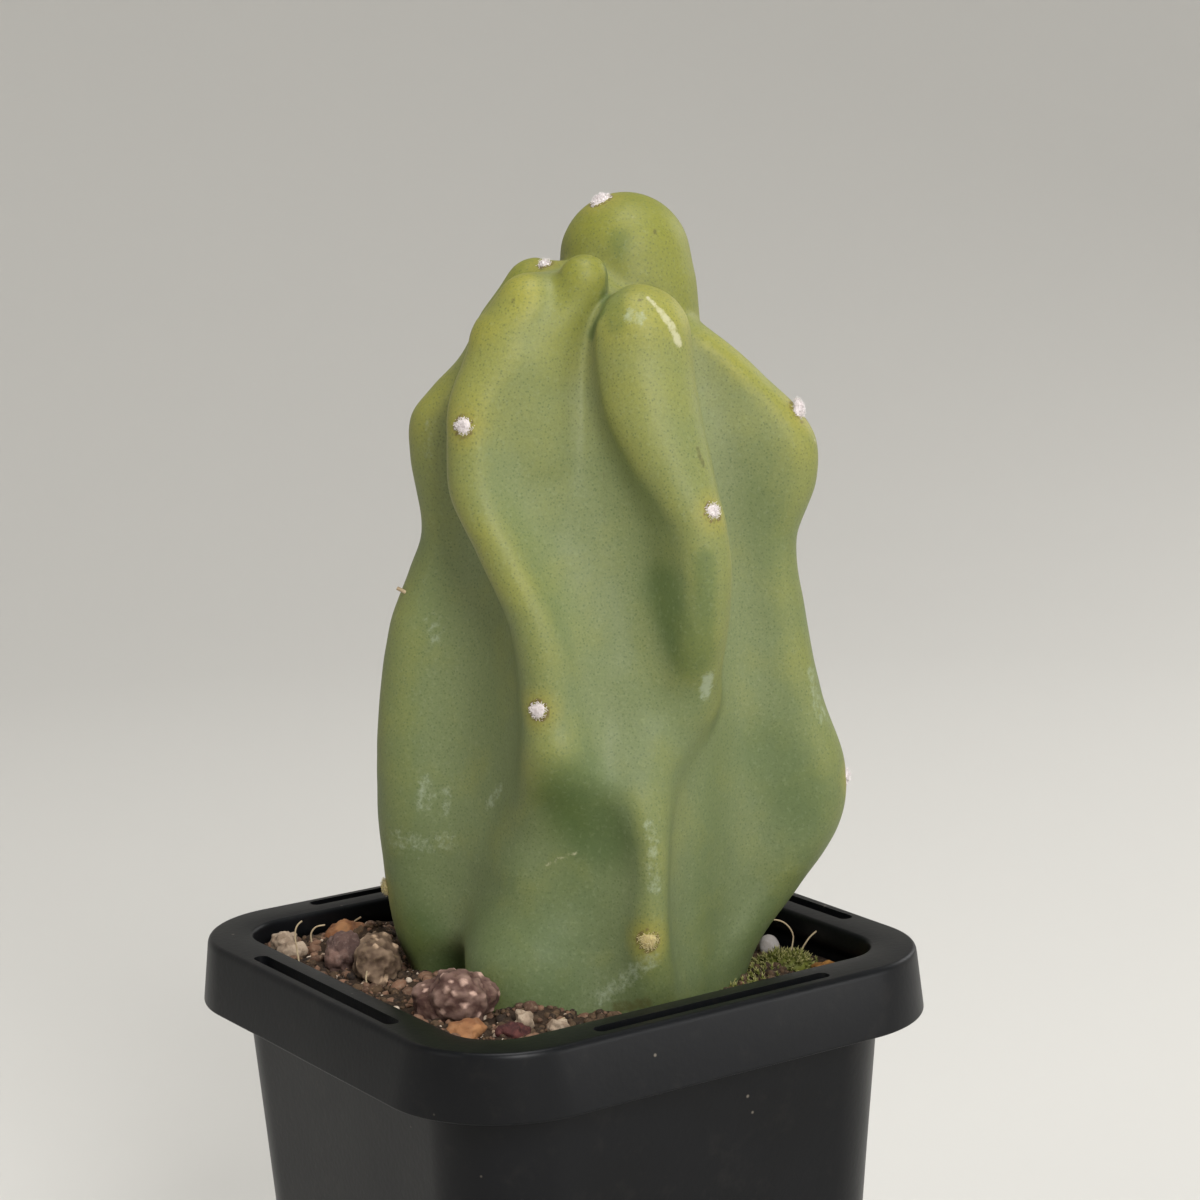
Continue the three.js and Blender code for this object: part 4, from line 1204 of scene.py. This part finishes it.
def bed_height(x, y):
    """The soil with its heaps and crumbs."""
    z = soil_top(x, y)
    for heap_x, heap_y, width, height in HEAPS:
        z += height * math.exp(-((x - heap_x) ** 2 + (y - heap_y) ** 2) / (2 * (width / 2) ** 2))
    spot = Vector((x, y, 0))
    z += 0.5 * noise.noise(spot / 3.1 + Vector((5, 1, 0)))
    z += 0.34 * noise.noise(spot / 1.3 + Vector((2, 9, 4)))
    z += 0.4 * abs(noise.noise(spot / 0.7 + Vector((8, 3, 1))))
    return z


outer_ring = rounded_square(MOUTH_HALF - MOUTH_GAP, MOUTH_CORNER, BED_STEPS)
bed_count = len(outer_ring)
bed_points, bed_faces = [], []
foot_half = wall_at(FLOOR) - WALL - BED_LIFT
for point in rounded_square(foot_half, MOUTH_CORNER, BED_STEPS):
    bed_points.append((point.x, point.y, FLOOR + BED_LIFT))
for ring_number in range(BED_RINGS):
    scale = 1 - ring_number / BED_RINGS
    for point in outer_ring:
        x, y = point * scale
        bed_points.append((x, y, bed_height(x, y)))
for ring_number in range(BED_RINGS):
    for i in range(bed_count):
        a, b = ring_number * bed_count + i, ring_number * bed_count + (i + 1) % bed_count
        bed_faces.append((a, b, b + bed_count, a + bed_count))
bed_points.append((0, 0, bed_height(0, 0)))
bed_points.append((0, 0, FLOOR + BED_LIFT))
top_point, under_point = len(bed_points) - 2, len(bed_points) - 1
for i in range(bed_count):
    beside = (i + 1) % bed_count
    bed_faces.append((top_point, BED_RINGS * bed_count + i, BED_RINGS * bed_count + beside))
    bed_faces.append((under_point, beside, i))
print("soil bed points:", len(bed_points))

# %% Soil finish
# Humus: crumbled, damp and dark, quite matt, with lighter mineral dust between crumbs of 0.5 mm
humus, tree, shader, at = new_finish("humus_crumbled")
lumps = put(tree, "ShaderNodeTexNoise", {
    "Vector": at, "Scale": 1 / 2.5, "Detail": 5.0, "Roughness": 0.7,
}).outputs["Fac"]
crumbs = put(tree, "ShaderNodeTexNoise", {
    "Vector": at, "Scale": 1 / 0.5, "Detail": 4.0, "Roughness": 0.7,
}).outputs["Fac"]
humus_colour = put(tree, "ShaderNodeMix", {
    0: lumps, 6: linear("#1b1511"), 7: linear("#4a3a2d"),
}, data_type="RGBA").outputs[2]
dusting = put(tree, "ShaderNodeMapRange", {
    "Value": crumbs, "From Min": 0.55, "From Max": 0.8, "To Max": 0.6,
}).outputs[0]
humus_colour = put(tree, "ShaderNodeMix", {
    0: dusting, 6: humus_colour, 7: linear("#7a634d"),
}, data_type="RGBA").outputs[2]
tree.links.new(humus_colour, shader.inputs["Base Color"])
shader.inputs["Roughness"].default_value = 0.92
shader.inputs["Specular IOR Level"].default_value = 0.2
humus_bump = put(tree, "ShaderNodeBump", {"Height": crumbs, "Distance": 0.35 * MM, "Strength": 0.9})
tree.links.new(humus_bump.outputs[0], shader.inputs["Normal"])
soil_bed = plain_piece("soil_bed", bed_points, bed_faces, humus)
seat(soil_bed, "soil_humus", "soil")
soil_tree = BVHTree.FromPolygons((np.array(bed_points) * MM).tolist(), bed_faces)

# %% [markdown]
# ### Crumbs and grit
# On the real soil no crumb is like the next. The tree spreads points by a stored share, sets
# a low ball on each with a random turn and stretch, then, once the balls are real, pushes
# their points by a noise, which makes every crumb its own shape. A tone for each crumb is
# stored too, for the finish to vary its colour.

# %% Crumb tree
crumb_tree, given = new_tree("soil_crumbs", {
    "Crumbs per square metre": "Float", "Share": "String", "Smallest": "Float", "Largest": "Float",
    "Raggedness": "Float", "Roundness": "Int", "Seed": "Int", "Finish": "Material",
})
wanted = put(crumb_tree, "GeometryNodeInputNamedAttribute", {
    "Name": given["Share"],
}, data_type="FLOAT").outputs[0]
density = put(crumb_tree, "ShaderNodeMath", {
    0: wanted, 1: given["Crumbs per square metre"],
}, operation="MULTIPLY").outputs[0]
sown = put(crumb_tree, "GeometryNodeDistributePointsOnFaces", {
    "Mesh": given["Geometry"], "Density": density, "Seed": given["Seed"],
}, distribute_method="RANDOM").outputs["Points"]
ball = put(crumb_tree, "GeometryNodeMeshIcoSphere", {
    "Radius": 1.0, "Subdivisions": given["Roundness"],
}).outputs["Mesh"]
pick = put(crumb_tree, "FunctionNodeRandomValue", {
    2: 0.0, 3: 1.0, "Seed": given["Seed"],
}).outputs[1]
small_share = put(crumb_tree, "ShaderNodeMath", {0: pick, 1: 2.2}, operation="POWER").outputs[0]
crumb_size = put(crumb_tree, "ShaderNodeMapRange", {
    "Value": small_share, "To Min": given["Smallest"], "To Max": given["Largest"],
}).outputs[0]
stretch = put(crumb_tree, "FunctionNodeRandomValue", {
    0: (0.75, 0.75, 0.6), 1: (1.3, 1.2, 1.0), "Seed": 31,
}, data_type="FLOAT_VECTOR").outputs[0]
crumb_scale = put(crumb_tree, "ShaderNodeVectorMath", {
    0: stretch, "Scale": crumb_size,
}, operation="SCALE").outputs[0]
crumb_turn = put(crumb_tree, "FunctionNodeRandomValue", {
    0: (-0.6, -0.6, 0.0), 1: (0.6, 0.6, 2 * math.pi), "Seed": 12,
}, data_type="FLOAT_VECTOR").outputs[0]
tone = put(crumb_tree, "FunctionNodeRandomValue", {2: 0.0, 3: 1.0, "Seed": 77}).outputs[1]
toned = put(crumb_tree, "GeometryNodeStoreNamedAttribute", {
    "Geometry": sown, "Name": "tone", "Value": tone,
}, data_type="FLOAT", domain="POINT").outputs[0]
laid = put(crumb_tree, "GeometryNodeInstanceOnPoints", {
    "Points": toned, "Instance": ball, "Rotation": crumb_turn, "Scale": crumb_scale,
}).outputs[0]
loose = put(crumb_tree, "GeometryNodeRealizeInstances", {"Geometry": laid}).outputs[0]
where = put(crumb_tree, "GeometryNodeInputPosition").outputs[0]
push = put(crumb_tree, "ShaderNodeTexNoise", {
    "Vector": where, "Scale": 1 / (0.55 * MM), "Detail": 1.0,
}).outputs["Color"]
push = put(crumb_tree, "ShaderNodeVectorMath", {
    0: push, 1: (0.5, 0.5, 0.5),
}, operation="SUBTRACT").outputs[0]
push = put(crumb_tree, "ShaderNodeVectorMath", {
    0: push, "Scale": given["Raggedness"],
}, operation="SCALE").outputs[0]
loose = put(crumb_tree, "GeometryNodeSetPosition", {"Geometry": loose, "Offset": push}).outputs[0]
finish_tree(crumb_tree, loose, given["Finish"])


# %% Crumb finishes
def mineral_finish(name, dark, light, speckle, grain_mm):
    """A matt mineral whose colour shifts from crumb to crumb and within each."""
    finish, tree, shader, at = new_finish(name)
    tone_in = put(tree, "ShaderNodeAttribute", attribute_name="tone").outputs["Fac"]
    mixed = put(tree, "ShaderNodeMix", {
        0: tone_in, 6: linear(dark), 7: linear(light),
    }, data_type="RGBA").outputs[2]
    fleck = put(tree, "ShaderNodeTexNoise", {
        "Vector": at, "Scale": 1 / grain_mm, "Detail": 4.0, "Roughness": 0.7,
    }).outputs["Fac"]
    flecked = put(tree, "ShaderNodeMapRange", {
        "Value": fleck, "From Min": 0.5, "From Max": 0.75, "To Max": 0.75,
    }).outputs[0]
    mixed = put(tree, "ShaderNodeMix", {
        0: flecked, 6: mixed, 7: linear(speckle),
    }, data_type="RGBA").outputs[2]
    tree.links.new(mixed, shader.inputs["Base Color"])
    shader.inputs["Roughness"].default_value = 0.85
    shader.inputs["Specular IOR Level"].default_value = 0.3
    bump = put(tree, "ShaderNodeBump", {
        "Height": fleck, "Distance": 0.25 * grain_mm * MM, "Strength": 0.8,
    })
    tree.links.new(bump.outputs[0], shader.inputs["Normal"])
    return finish


dark_crumb = mineral_finish("humus_crumbs", "#1e1713", "#54412f", "#6e5740", 0.4)
brown_grit = mineral_finish("lava_grit_brown", "#493529", "#7d5d49", "#8f7a66", 0.45)
pale_grit = mineral_finish("pumice_grit_pale", "#8f765f", "#bfae9b", "#cfc5b8", 0.4)

# %% Crumbs
bed_keep = []
for face in bed_faces[bed_count:BED_RINGS * bed_count]:
    x, y, z = np.mean([bed_points[i] for i in face], axis=0)
    if max(abs(x), abs(y)) < MOUTH_HALF - 1.0:
        bed_keep.append((face, x, y, z))
centres = np.array([[x, y, z] for face, x, y, z in bed_keep])
clear = stem_distance(to_stem(centres))
open_faces = [face for (face, *spot), gap in zip(bed_keep, clear) if gap > -0.3]
bed_array = np.array(bed_points)
west = np.clip((2 - bed_array[:, 0]) / 10, 0.12, 1)
near_stem = np.clip(1.6 - stem_distance(to_stem(bed_array)) / 6, 0.5, 1)
for name, finish, density_of, smallest, largest, ragged_by, roundness, share_of, seed in (
    ("crumbs_humus", dark_crumb, 1.15e6, 0.22, 0.75, 0.4, 2, near_stem, 3),
    ("grit_brown", brown_grit, 3.2e5, 0.25, 0.95, 0.45, 2, west, 14),
    ("grit_pale", pale_grit, 1.1e5, 0.18, 0.55, 0.25, 2, west, 25),
):
    carrier = plain_piece(name, bed_points, open_faces, None)
    give(carrier, "share", share_of)
    piece = grow_piece(
        carrier, crumb_tree, crumbs_per_square_metre=density_of, share="share",
        smallest=smallest * MM, largest=largest * MM, raggedness=ragged_by * MM,
        roundness=roundness, seed=seed, finish=finish,
    )
    seat(piece, "soil_humus")

# %% [markdown]
# ## The loose stones
# A dozen bigger pieces lie on the soil: two lumps of conglomerate, ochre and umber gravel,
# pumice, red lava, a round pebble and a scrap of bark. Each is a ball pushed by a few slow
# waves, as in the CAD model, then broken flat on many sides and roughened. Only the pebble
# stays smooth, and the conglomerates get round pale grains set in a dark matrix.

# %% Stone shapes
STONE_WAVE = 0.13


def repeatable(seed):
    """The same stream of numbers that the CAD model draws from."""
    state = seed
    while True:
        state = (state * 1664525 + 1013904223) % 4294967296
        yield state / 4294967296


def stone_points(name, at, size, turn, lift, detail):
    """Unit directions, points in mm and faces of a stone."""
    ball_mesh = bmesh.new()
    bmesh.ops.create_icosphere(ball_mesh, subdivisions=detail, radius=1)
    units = np.array([v.co for v in ball_mesh.verts])
    units /= np.linalg.norm(units, axis=1)[:, None]
    faces = [tuple(v.index for v in f.verts) for f in ball_mesh.faces]
    ball_mesh.free()
    draw = repeatable(len(name) * 7919 + math.floor(at[0] * 31 + 0.5))
    push = np.zeros(len(units))
    for _ in range(3):
        way = Vector((next(draw) - 0.5, next(draw) - 0.5, next(draw) - 0.5)).normalized()
        pace_of, phase = 2.4 + 2.2 * next(draw), 6.28 * next(draw)
        push += np.sin(pace_of * (units @ np.array(way)) + phase)
    points = units * (1 + STONE_WAVE * push / 2)[:, None] * np.array(size)
    c, s = math.cos(math.radians(turn)), math.sin(math.radians(turn))
    turned = points @ np.array([[c, s, 0], [-s, c, 0], [0, 0, 1]])
    return turned + (at[0], at[1], soil_top(*at) + lift), faces


def cell_relief(points, width, jitter):
    """Grains on a surface: how far each point stands out, its grain's tone and its place in it."""
    relief, tones, off_middle = [], [], []
    for p in points:
        distances, cells = noise.voronoi(Vector(p) / width + Vector((jitter, 0, 0)))
        relief.append(min(distances[1] - distances[0], 0.55))
        tones.append(noise.cell(cells[0] * 3.7))
        off_middle.append(distances[0])
    return np.array(relief), (np.array(tones) + 1) / 2, np.array(off_middle)


def broken_faces(units, seed, count=16):
    """How far out a lump reaches where flat breaks cut its ball, by direction."""
    draw = repeatable(seed)
    reach = np.ones(len(units))
    for _ in range(count):
        way = Vector((next(draw) - 0.5, next(draw) - 0.5, next(draw) - 0.4)).normalized()
        cut = 0.8 + 0.14 * next(draw)
        facing = np.maximum(units @ np.array(way), 1e-3)
        reach = np.minimum(reach, cut / facing)
    return reach


def embedded(tones, off_middle, share):
    """Round pale grains in a share of the cells of a dark matrix, from 0 to 1."""
    chosen = tones > 1 - share
    return np.where(chosen, np.clip((0.46 - off_middle) / 0.1, 0, 1), 0)


# %% Stone finishes
conglomerate_tan = mineral_finish("conglomerate_tan", "#4d3c2f", "#b59a80", "#6b5a43", 0.7)
conglomerate_red = mineral_finish("conglomerate_red", "#47302a", "#b8998a", "#6a5444", 0.7)
gravel_ochre = mineral_finish("gravel_ochre", "#6d452c", "#9c6f49", "#8a6b50", 0.9)
gravel_umber = mineral_finish("gravel_umber", "#4b3935", "#745a50", "#857168", 0.6)
pumice = mineral_finish("pumice_pale", "#857260", "#a89682", "#64533f", 0.5)
lava = mineral_finish("lava_red", "#331b1b", "#4f2926", "#6b4038", 0.5)
pebble_finish = mineral_finish("pebble_river_grey", "#878079", "#9c9692", "#aca5a2", 1.2)
bark = mineral_finish("bark_orange", "#6b471f", "#926733", "#4f3a20", 0.6)

# %% Stones
# Name, place, half sizes, turn, lift, how fine, grain width, grain height, finish and slot
STONES = [
    ("pumice_corner_outer", (-24.4, 25.4), (1.7, 1.6, 1.5), 20, 0.6, 4, 1.1, 0.1, pumice, "pumice_pale"),
    ("pumice_corner_inner", (-25.3, 21.6), (1.4, 1.7, 1.5), 50, 0.6, 4, 1.1, 0.1, pumice, "pumice_pale"),
    ("gravel_orange_back", (-15.7, 25.2), (2.6, 2, 2), 15, 1, 4, 1.4, 0.3, gravel_ochre, "gravel_ochre"),
    ("gravel_brown_tall", (-22, 14.4), (2.2, 2.4, 3.2), 0, 1.4, 5, 1.8, 0.4, gravel_umber, "gravel_ochre"),
    ("conglomerate_left", (-21.2, 7.6), (3, 3.6, 3.1), -34, 1.5, 5, 0.95, 0.5, conglomerate_tan,
     "conglomerate_brown"),
    ("conglomerate_front", (-21.4, -11), (4.9, 3.3, 3.4), -34, 1.7, 5, 0.85, 0.5, conglomerate_red,
     "conglomerate_brown"),
    ("gravel_orange_front", (-24.6, -18.4), (2.3, 1.7, 1.4), -30, 0.6, 4, 1.6, 0.2, gravel_ochre,
     "gravel_ochre"),
    ("lava_red_front", (-20.9, -22.4), (2, 1.5, 1.3), -40, 0.4, 4, 0.9, 0.35, lava, "lava_red"),
    ("pumice_front_spike", (-17.2, -19.2), (1.2, 1.1, 1.8), 0, 0.5, 4, 1, 0.2, pumice, "pumice_pale"),
    ("pumice_front_yellow", (-15.2, -23.2), (1.4, 1.1, 1.1), -20, 0.6, 4, 1, 0.2, pumice, "pumice_pale"),
    ("pebble_round", (25.4, -9.4), (1.35, 1.35, 1.3), 0, 0.7, 4, 3, 0.02, pebble_finish, "pebble_grey"),
    ("bark_chunk", (26.6, -19.2), (1.7, 1.1, 0.9), -30, 0.4, 4, 0.8, 0.25, bark, "bark_orange"),
]
for name, at, size, turn, lift, detail, grain_width, grain_height, finish, slot in STONES:
    points, faces = stone_points(name, at, size, turn, lift, detail)
    relief, tones, off_middle = cell_relief(points, grain_width, len(name))
    middle_point = points.mean(axis=0)
    out = points - middle_point
    distance = np.linalg.norm(out, axis=1)
    out /= distance[:, None]
    rough_push = np.array([noise.noise(Vector(p) / 1.5) for p in points])
    rough_push += 0.7 * np.array([noise.noise(Vector(p) / 0.6) for p in points])
    if name != "pebble_round":
        distance *= 1.08 * broken_faces(out, len(name) * 31 + 7)
        distance += 0.42 * rough_push
    if name.startswith("conglomerate"):
        grains = embedded(tones, off_middle, 0.24)
        distance += 0.1 * grains
        tones = np.maximum(grains, 0.1 + 0.4 * rough_push)
    else:
        distance += (relief - 0.35) * grain_height
    points = middle_point + out * distance[:, None]
    stone = plain_piece(name + "_stone", points, faces, finish)
    give(stone, "tone", tones)
    seat(stone, slot, name)

# %% [markdown]
# ## Moss
# A cushion of moss grows against the stem, with pale tips. A dome with a bumpy material would
# stay smooth in outline, so shoots are grown on it: each is a short stalk set with pointed
# leaves, made once in a Geometry Nodes tree and planted over the dome.

# %% Moss tree
moss_tree, given = new_tree("moss_shoots", {
    "Shoots per square metre": "Float", "Shoot height": "Float", "Leaf length": "Float",
    "Leaf width": "Float", "Leaves": "Int", "Seed": "Int", "Finish": "Material",
})
planted = put(moss_tree, "GeometryNodeDistributePointsOnFaces", {
    "Mesh": given["Geometry"], "Density": given["Shoots per square metre"], "Seed": given["Seed"],
}, distribute_method="RANDOM")
leaf_tip = put(moss_tree, "GeometryNodeMeshCone", {
    "Vertices": 3, "Side Segments": 2, "Radius Top": 0.0, "Radius Bottom": given["Leaf width"],
    "Depth": given["Leaf length"],
}, fill_type="NONE").outputs["Mesh"]
stalk_top = put(moss_tree, "ShaderNodeCombineXYZ", {"Z": given["Shoot height"]}).outputs[0]
stalk = put(moss_tree, "GeometryNodeMeshLine", {
    "Count": given["Leaves"], "Offset": stalk_top,
}, mode="END_POINTS").outputs[0]
leaf_number = put(moss_tree, "GeometryNodeInputIndex").outputs[0]
leaf_share = put(moss_tree, "ShaderNodeMath", {
    0: leaf_number, 1: given["Leaves"],
}, operation="DIVIDE").outputs[0]
leaf_lean = put(moss_tree, "ShaderNodeMapRange", {
    "Value": leaf_share, "To Min": 1.25, "To Max": 0.15,
}).outputs[0]
leaf_turn = put(moss_tree, "ShaderNodeMath", {
    0: leaf_number, 1: 2.4,
}, operation="MULTIPLY").outputs[0]
leaf_stance = put(moss_tree, "ShaderNodeCombineXYZ", {"X": leaf_lean, "Z": leaf_turn}).outputs[0]
leaf_size = put(moss_tree, "ShaderNodeMapRange", {
    "Value": leaf_share, "To Min": 0.8, "To Max": 1.1,
}).outputs[0]
shoot = put(moss_tree, "GeometryNodeInstanceOnPoints", {
    "Points": stalk, "Instance": leaf_tip, "Rotation": leaf_stance, "Scale": leaf_size,
}).outputs[0]
shoot = put(moss_tree, "GeometryNodeRealizeInstances", {"Geometry": shoot}).outputs[0]
leaf_place = put(moss_tree, "GeometryNodeInputPosition").outputs[0]
leaf_z = put(moss_tree, "ShaderNodeSeparateXYZ", {0: leaf_place}).outputs["Z"]
tip_reach = put(moss_tree, "ShaderNodeMath", {
    0: given["Shoot height"], 1: given["Leaf length"],
}, operation="ADD").outputs[0]
tip = put(moss_tree, "ShaderNodeMath", {0: leaf_z, 1: tip_reach}, operation="DIVIDE").outputs[0]
shoot = put(moss_tree, "GeometryNodeStoreNamedAttribute", {
    "Geometry": shoot, "Name": "tip", "Value": tip,
}, data_type="FLOAT", domain="POINT").outputs[0]
shoot_turn = put(moss_tree, "FunctionNodeRandomValue", {
    0: (-0.45, -0.45, 0.0), 1: (0.45, 0.45, 2 * math.pi), "Seed": given["Seed"],
}, data_type="FLOAT_VECTOR").outputs[0]
shoot_stance = put(moss_tree, "FunctionNodeRotateRotation", {
    "Rotation": planted.outputs["Rotation"], "Rotate By": shoot_turn,
}, rotation_space="LOCAL").outputs[0]
shoot_size = put(moss_tree, "FunctionNodeRandomValue", {2: 0.6, 3: 1.15, "Seed": 8}).outputs[1]
carpet = put(moss_tree, "GeometryNodeInstanceOnPoints", {
    "Points": planted.outputs["Points"], "Instance": shoot, "Rotation": shoot_stance,
    "Scale": shoot_size,
}).outputs[0]
finish_tree(moss_tree, carpet, given["Finish"])

# %% Moss
# Moss leaves: thin and slightly translucent, olive at the stalk and straw-pale at the tips
moss_leaf, tree, shader, at = new_finish("moss_leaf")
tip_in = put(tree, "ShaderNodeAttribute", attribute_name="tip").outputs["Fac"]
patches = put(tree, "ShaderNodeTexNoise", {
    "Vector": at, "Scale": 1 / 1.6, "Detail": 2.0,
}).outputs["Fac"]
leaf_green = put(tree, "ShaderNodeMix", {
    0: patches, 6: linear("#3f4416"), 7: linear("#7b8030"),
}, data_type="RGBA").outputs[2]
pale_tip = put(tree, "ShaderNodeMapRange", {
    "Value": tip_in, "From Min": 0.5, "From Max": 1.0, "To Max": 0.8,
}).outputs[0]
leaf_colour = put(tree, "ShaderNodeMix", {
    0: pale_tip, 6: leaf_green, 7: linear("#c9bf83"),
}, data_type="RGBA").outputs[2]
tree.links.new(leaf_colour, shader.inputs["Base Color"])
shader.inputs["Roughness"].default_value = 0.7

moss_points, moss_faces = stone_points("moss_cushion", (23.6, -15), (3.2, 2.1, 1.5), -34, 0.1, 4)
moss_bed = plain_piece("moss_bed", moss_points, moss_faces, moss_leaf)
seat(moss_bed, "moss_green", "moss_cushion")
upper = [f for f in moss_faces if np.mean([moss_points[i][2] for i in f]) > soil_top(23.6, -15) + 0.1]
moss_carrier = plain_piece("moss_shoots", moss_points, upper, None)
moss_shoots = grow_piece(
    moss_carrier, moss_tree, shoots_per_square_metre=7e6, shoot_height=0.7 * MM, leaf_length=0.6 * MM,
    leaf_width=0.11 * MM, leaves=9, seed=4, finish=moss_leaf,
)
seat(moss_shoots, "moss_green")

# Thin moss that creeps over the soil beside the cushion and up to the stem: place and reach
MOSS_PATCHES = [(17.5, -16.5, 3.4), (26.5, -14.5, 3.0), (13.6, -18.6, 2.4)]
creeping = []
for face, (x, y, z) in zip((keep[0] for keep in bed_keep), centres):
    if any(math.hypot(x - px, y - py) < reach for px, py, reach in MOSS_PATCHES):
        creeping.append(face)
creep_carrier = plain_piece("moss_creeping", bed_points, creeping, None)
moss_creeping = grow_piece(
    creep_carrier, moss_tree, shoots_per_square_metre=1.6e6, shoot_height=0.5 * MM,
    leaf_length=0.55 * MM, leaf_width=0.1 * MM, leaves=8, seed=9, finish=moss_leaf,
)
seat(moss_creeping, "moss_green")

# %% [markdown]
# ## Rootlets
# Dry rootlets and fibres stick out of the soil. Each follows a path, so they are drawn as
# lines of a few points, and one tree smooths the lines and skins them with a taper.

# %% Rootlet tree
root_tree, given = new_tree("rootlets", {
    "Thickness": "Float", "Smoothing": "Int", "Finish": "Material",
})
strands = put(root_tree, "GeometryNodeMeshToCurve", {"Mesh": given["Geometry"]}).outputs[0]
strands = put(root_tree, "GeometryNodeCurveSplineType", {
    "Curve": strands,
}, spline_type="CATMULL_ROM").outputs[0]
strands = put(root_tree, "GeometryNodeResampleCurve", {
    "Curve": strands, "Count": given["Smoothing"],
}).outputs[0]
along_strand = put(root_tree, "GeometryNodeSplineParameter").outputs["Factor"]
strand_taper = put(root_tree, "ShaderNodeMapRange", {
    "Value": along_strand, "To Min": 1.0, "To Max": 0.45,
}).outputs[0]
strands = put(root_tree, "GeometryNodeSetCurveRadius", {
    "Curve": strands, "Radius": strand_taper,
}).outputs[0]
strand_round = put(root_tree, "GeometryNodeCurvePrimitiveCircle", {
    "Resolution": 6, "Radius": given["Thickness"],
}).outputs[0]
skinned = put(root_tree, "GeometryNodeCurveToMesh", {
    "Curve": strands, "Profile Curve": strand_round, "Fill Caps": True,
}).outputs[0]
finish_tree(root_tree, skinned, given["Finish"])

# %% Rootlets
# Dry root: straw-coloured bast, matt, with darker stretches a millimetre or two long
root_finish, tree, shader, at = new_finish("root_dry_straw")
stretches = put(tree, "ShaderNodeTexNoise", {
    "Vector": at, "Scale": 1 / 1.5, "Detail": 2.0,
}).outputs["Fac"]
root_colour = put(tree, "ShaderNodeMix", {
    0: stretches, 6: linear("#7a6248"), 7: linear("#cdbb98"),
}, data_type="RGBA").outputs[2]
tree.links.new(root_colour, shader.inputs["Base Color"])
shader.inputs["Roughness"].default_value = 0.8


def on_soil(px, py):
    """The point of the soil under a point of the photograph, in mm."""
    hit = soil_tree.ray_cast(photo_eye, photo_ray(px, py))[0]
    if hit is None:
        raise ValueError(f"no soil under picture point {px}, {py}")
    return np.array(hit) / MM


def root_path(foot, picture_path, depth_step=0.0):
    """A rootlet that leaves the soil at one picture point and is seen along the others."""
    start = on_soil(*foot)
    distance = (Vector(start * MM) - photo_eye).dot(-photo_back)
    path = [start - (0, 0, 0.6), start]
    for step, (px, py) in enumerate(picture_path):
        ray = photo_ray(px, py)
        reach = (distance - depth_step * MM * (step + 1)) / ray.dot(-photo_back)
        path.append(np.array(photo_eye + ray * reach) / MM)
    return path


# Where each leaves the soil, then where it is seen, in pixels of the photo
ROOTLETS = [
    root_path((299, 962), [(297, 950), (295, 935), (297, 926), (302, 921)]),
    root_path((511, 1006), [(508, 997), (505, 985)]),
    root_path((500, 1008), [(512, 1010), (524, 1010), (535, 1010)], 0.3),
    root_path((367, 985), [(366, 978), (367, 971)]),
    root_path((556, 1022), [(562, 1019), (565, 1018)]),
    root_path((312, 944), [(311, 934), (316, 927), (325, 925)]),
    root_path((350, 936), [(352, 924), (361, 917)]),
    root_path((790, 956), [(793, 935), (783, 922), (766, 919)]),
    root_path((795, 962), [(809, 938), (823, 927)]),
]
root_points, root_edges = [], []
for path in ROOTLETS:
    start = len(root_points)
    root_points += [tuple(p) for p in path]
    root_edges += [(start + i, start + i + 1) for i in range(len(path) - 1)]
root_carrier = plain_piece("rootlets", root_points, [], None, edges=root_edges)
rootlets = grow_piece(root_carrier, root_tree, thickness=0.11 * MM, smoothing=18, finish=root_finish)
seat(rootlets, "soil_humus")

# The one spine that is left: a stub on the left rib
stub_foot = on_skin(405, 592)
stub_ray = photo_ray(397, 588)
stub_reach = (Vector(stub_foot * MM) - photo_eye).dot(-photo_back) / stub_ray.dot(-photo_back)
stub_tip = np.array(photo_eye + stub_ray * stub_reach) / MM
stub_path = [tuple(stub_foot - (stub_tip - stub_foot) * 0.6), tuple(stub_foot), tuple(stub_tip)]
stub_carrier = plain_piece("spine_stub", stub_path, [], None, edges=[(0, 1), (1, 2)])
spine_stub = grow_piece(stub_carrier, root_tree, thickness=0.24 * MM, smoothing=8, finish=root_finish)
seat(spine_stub, "stem_skin")
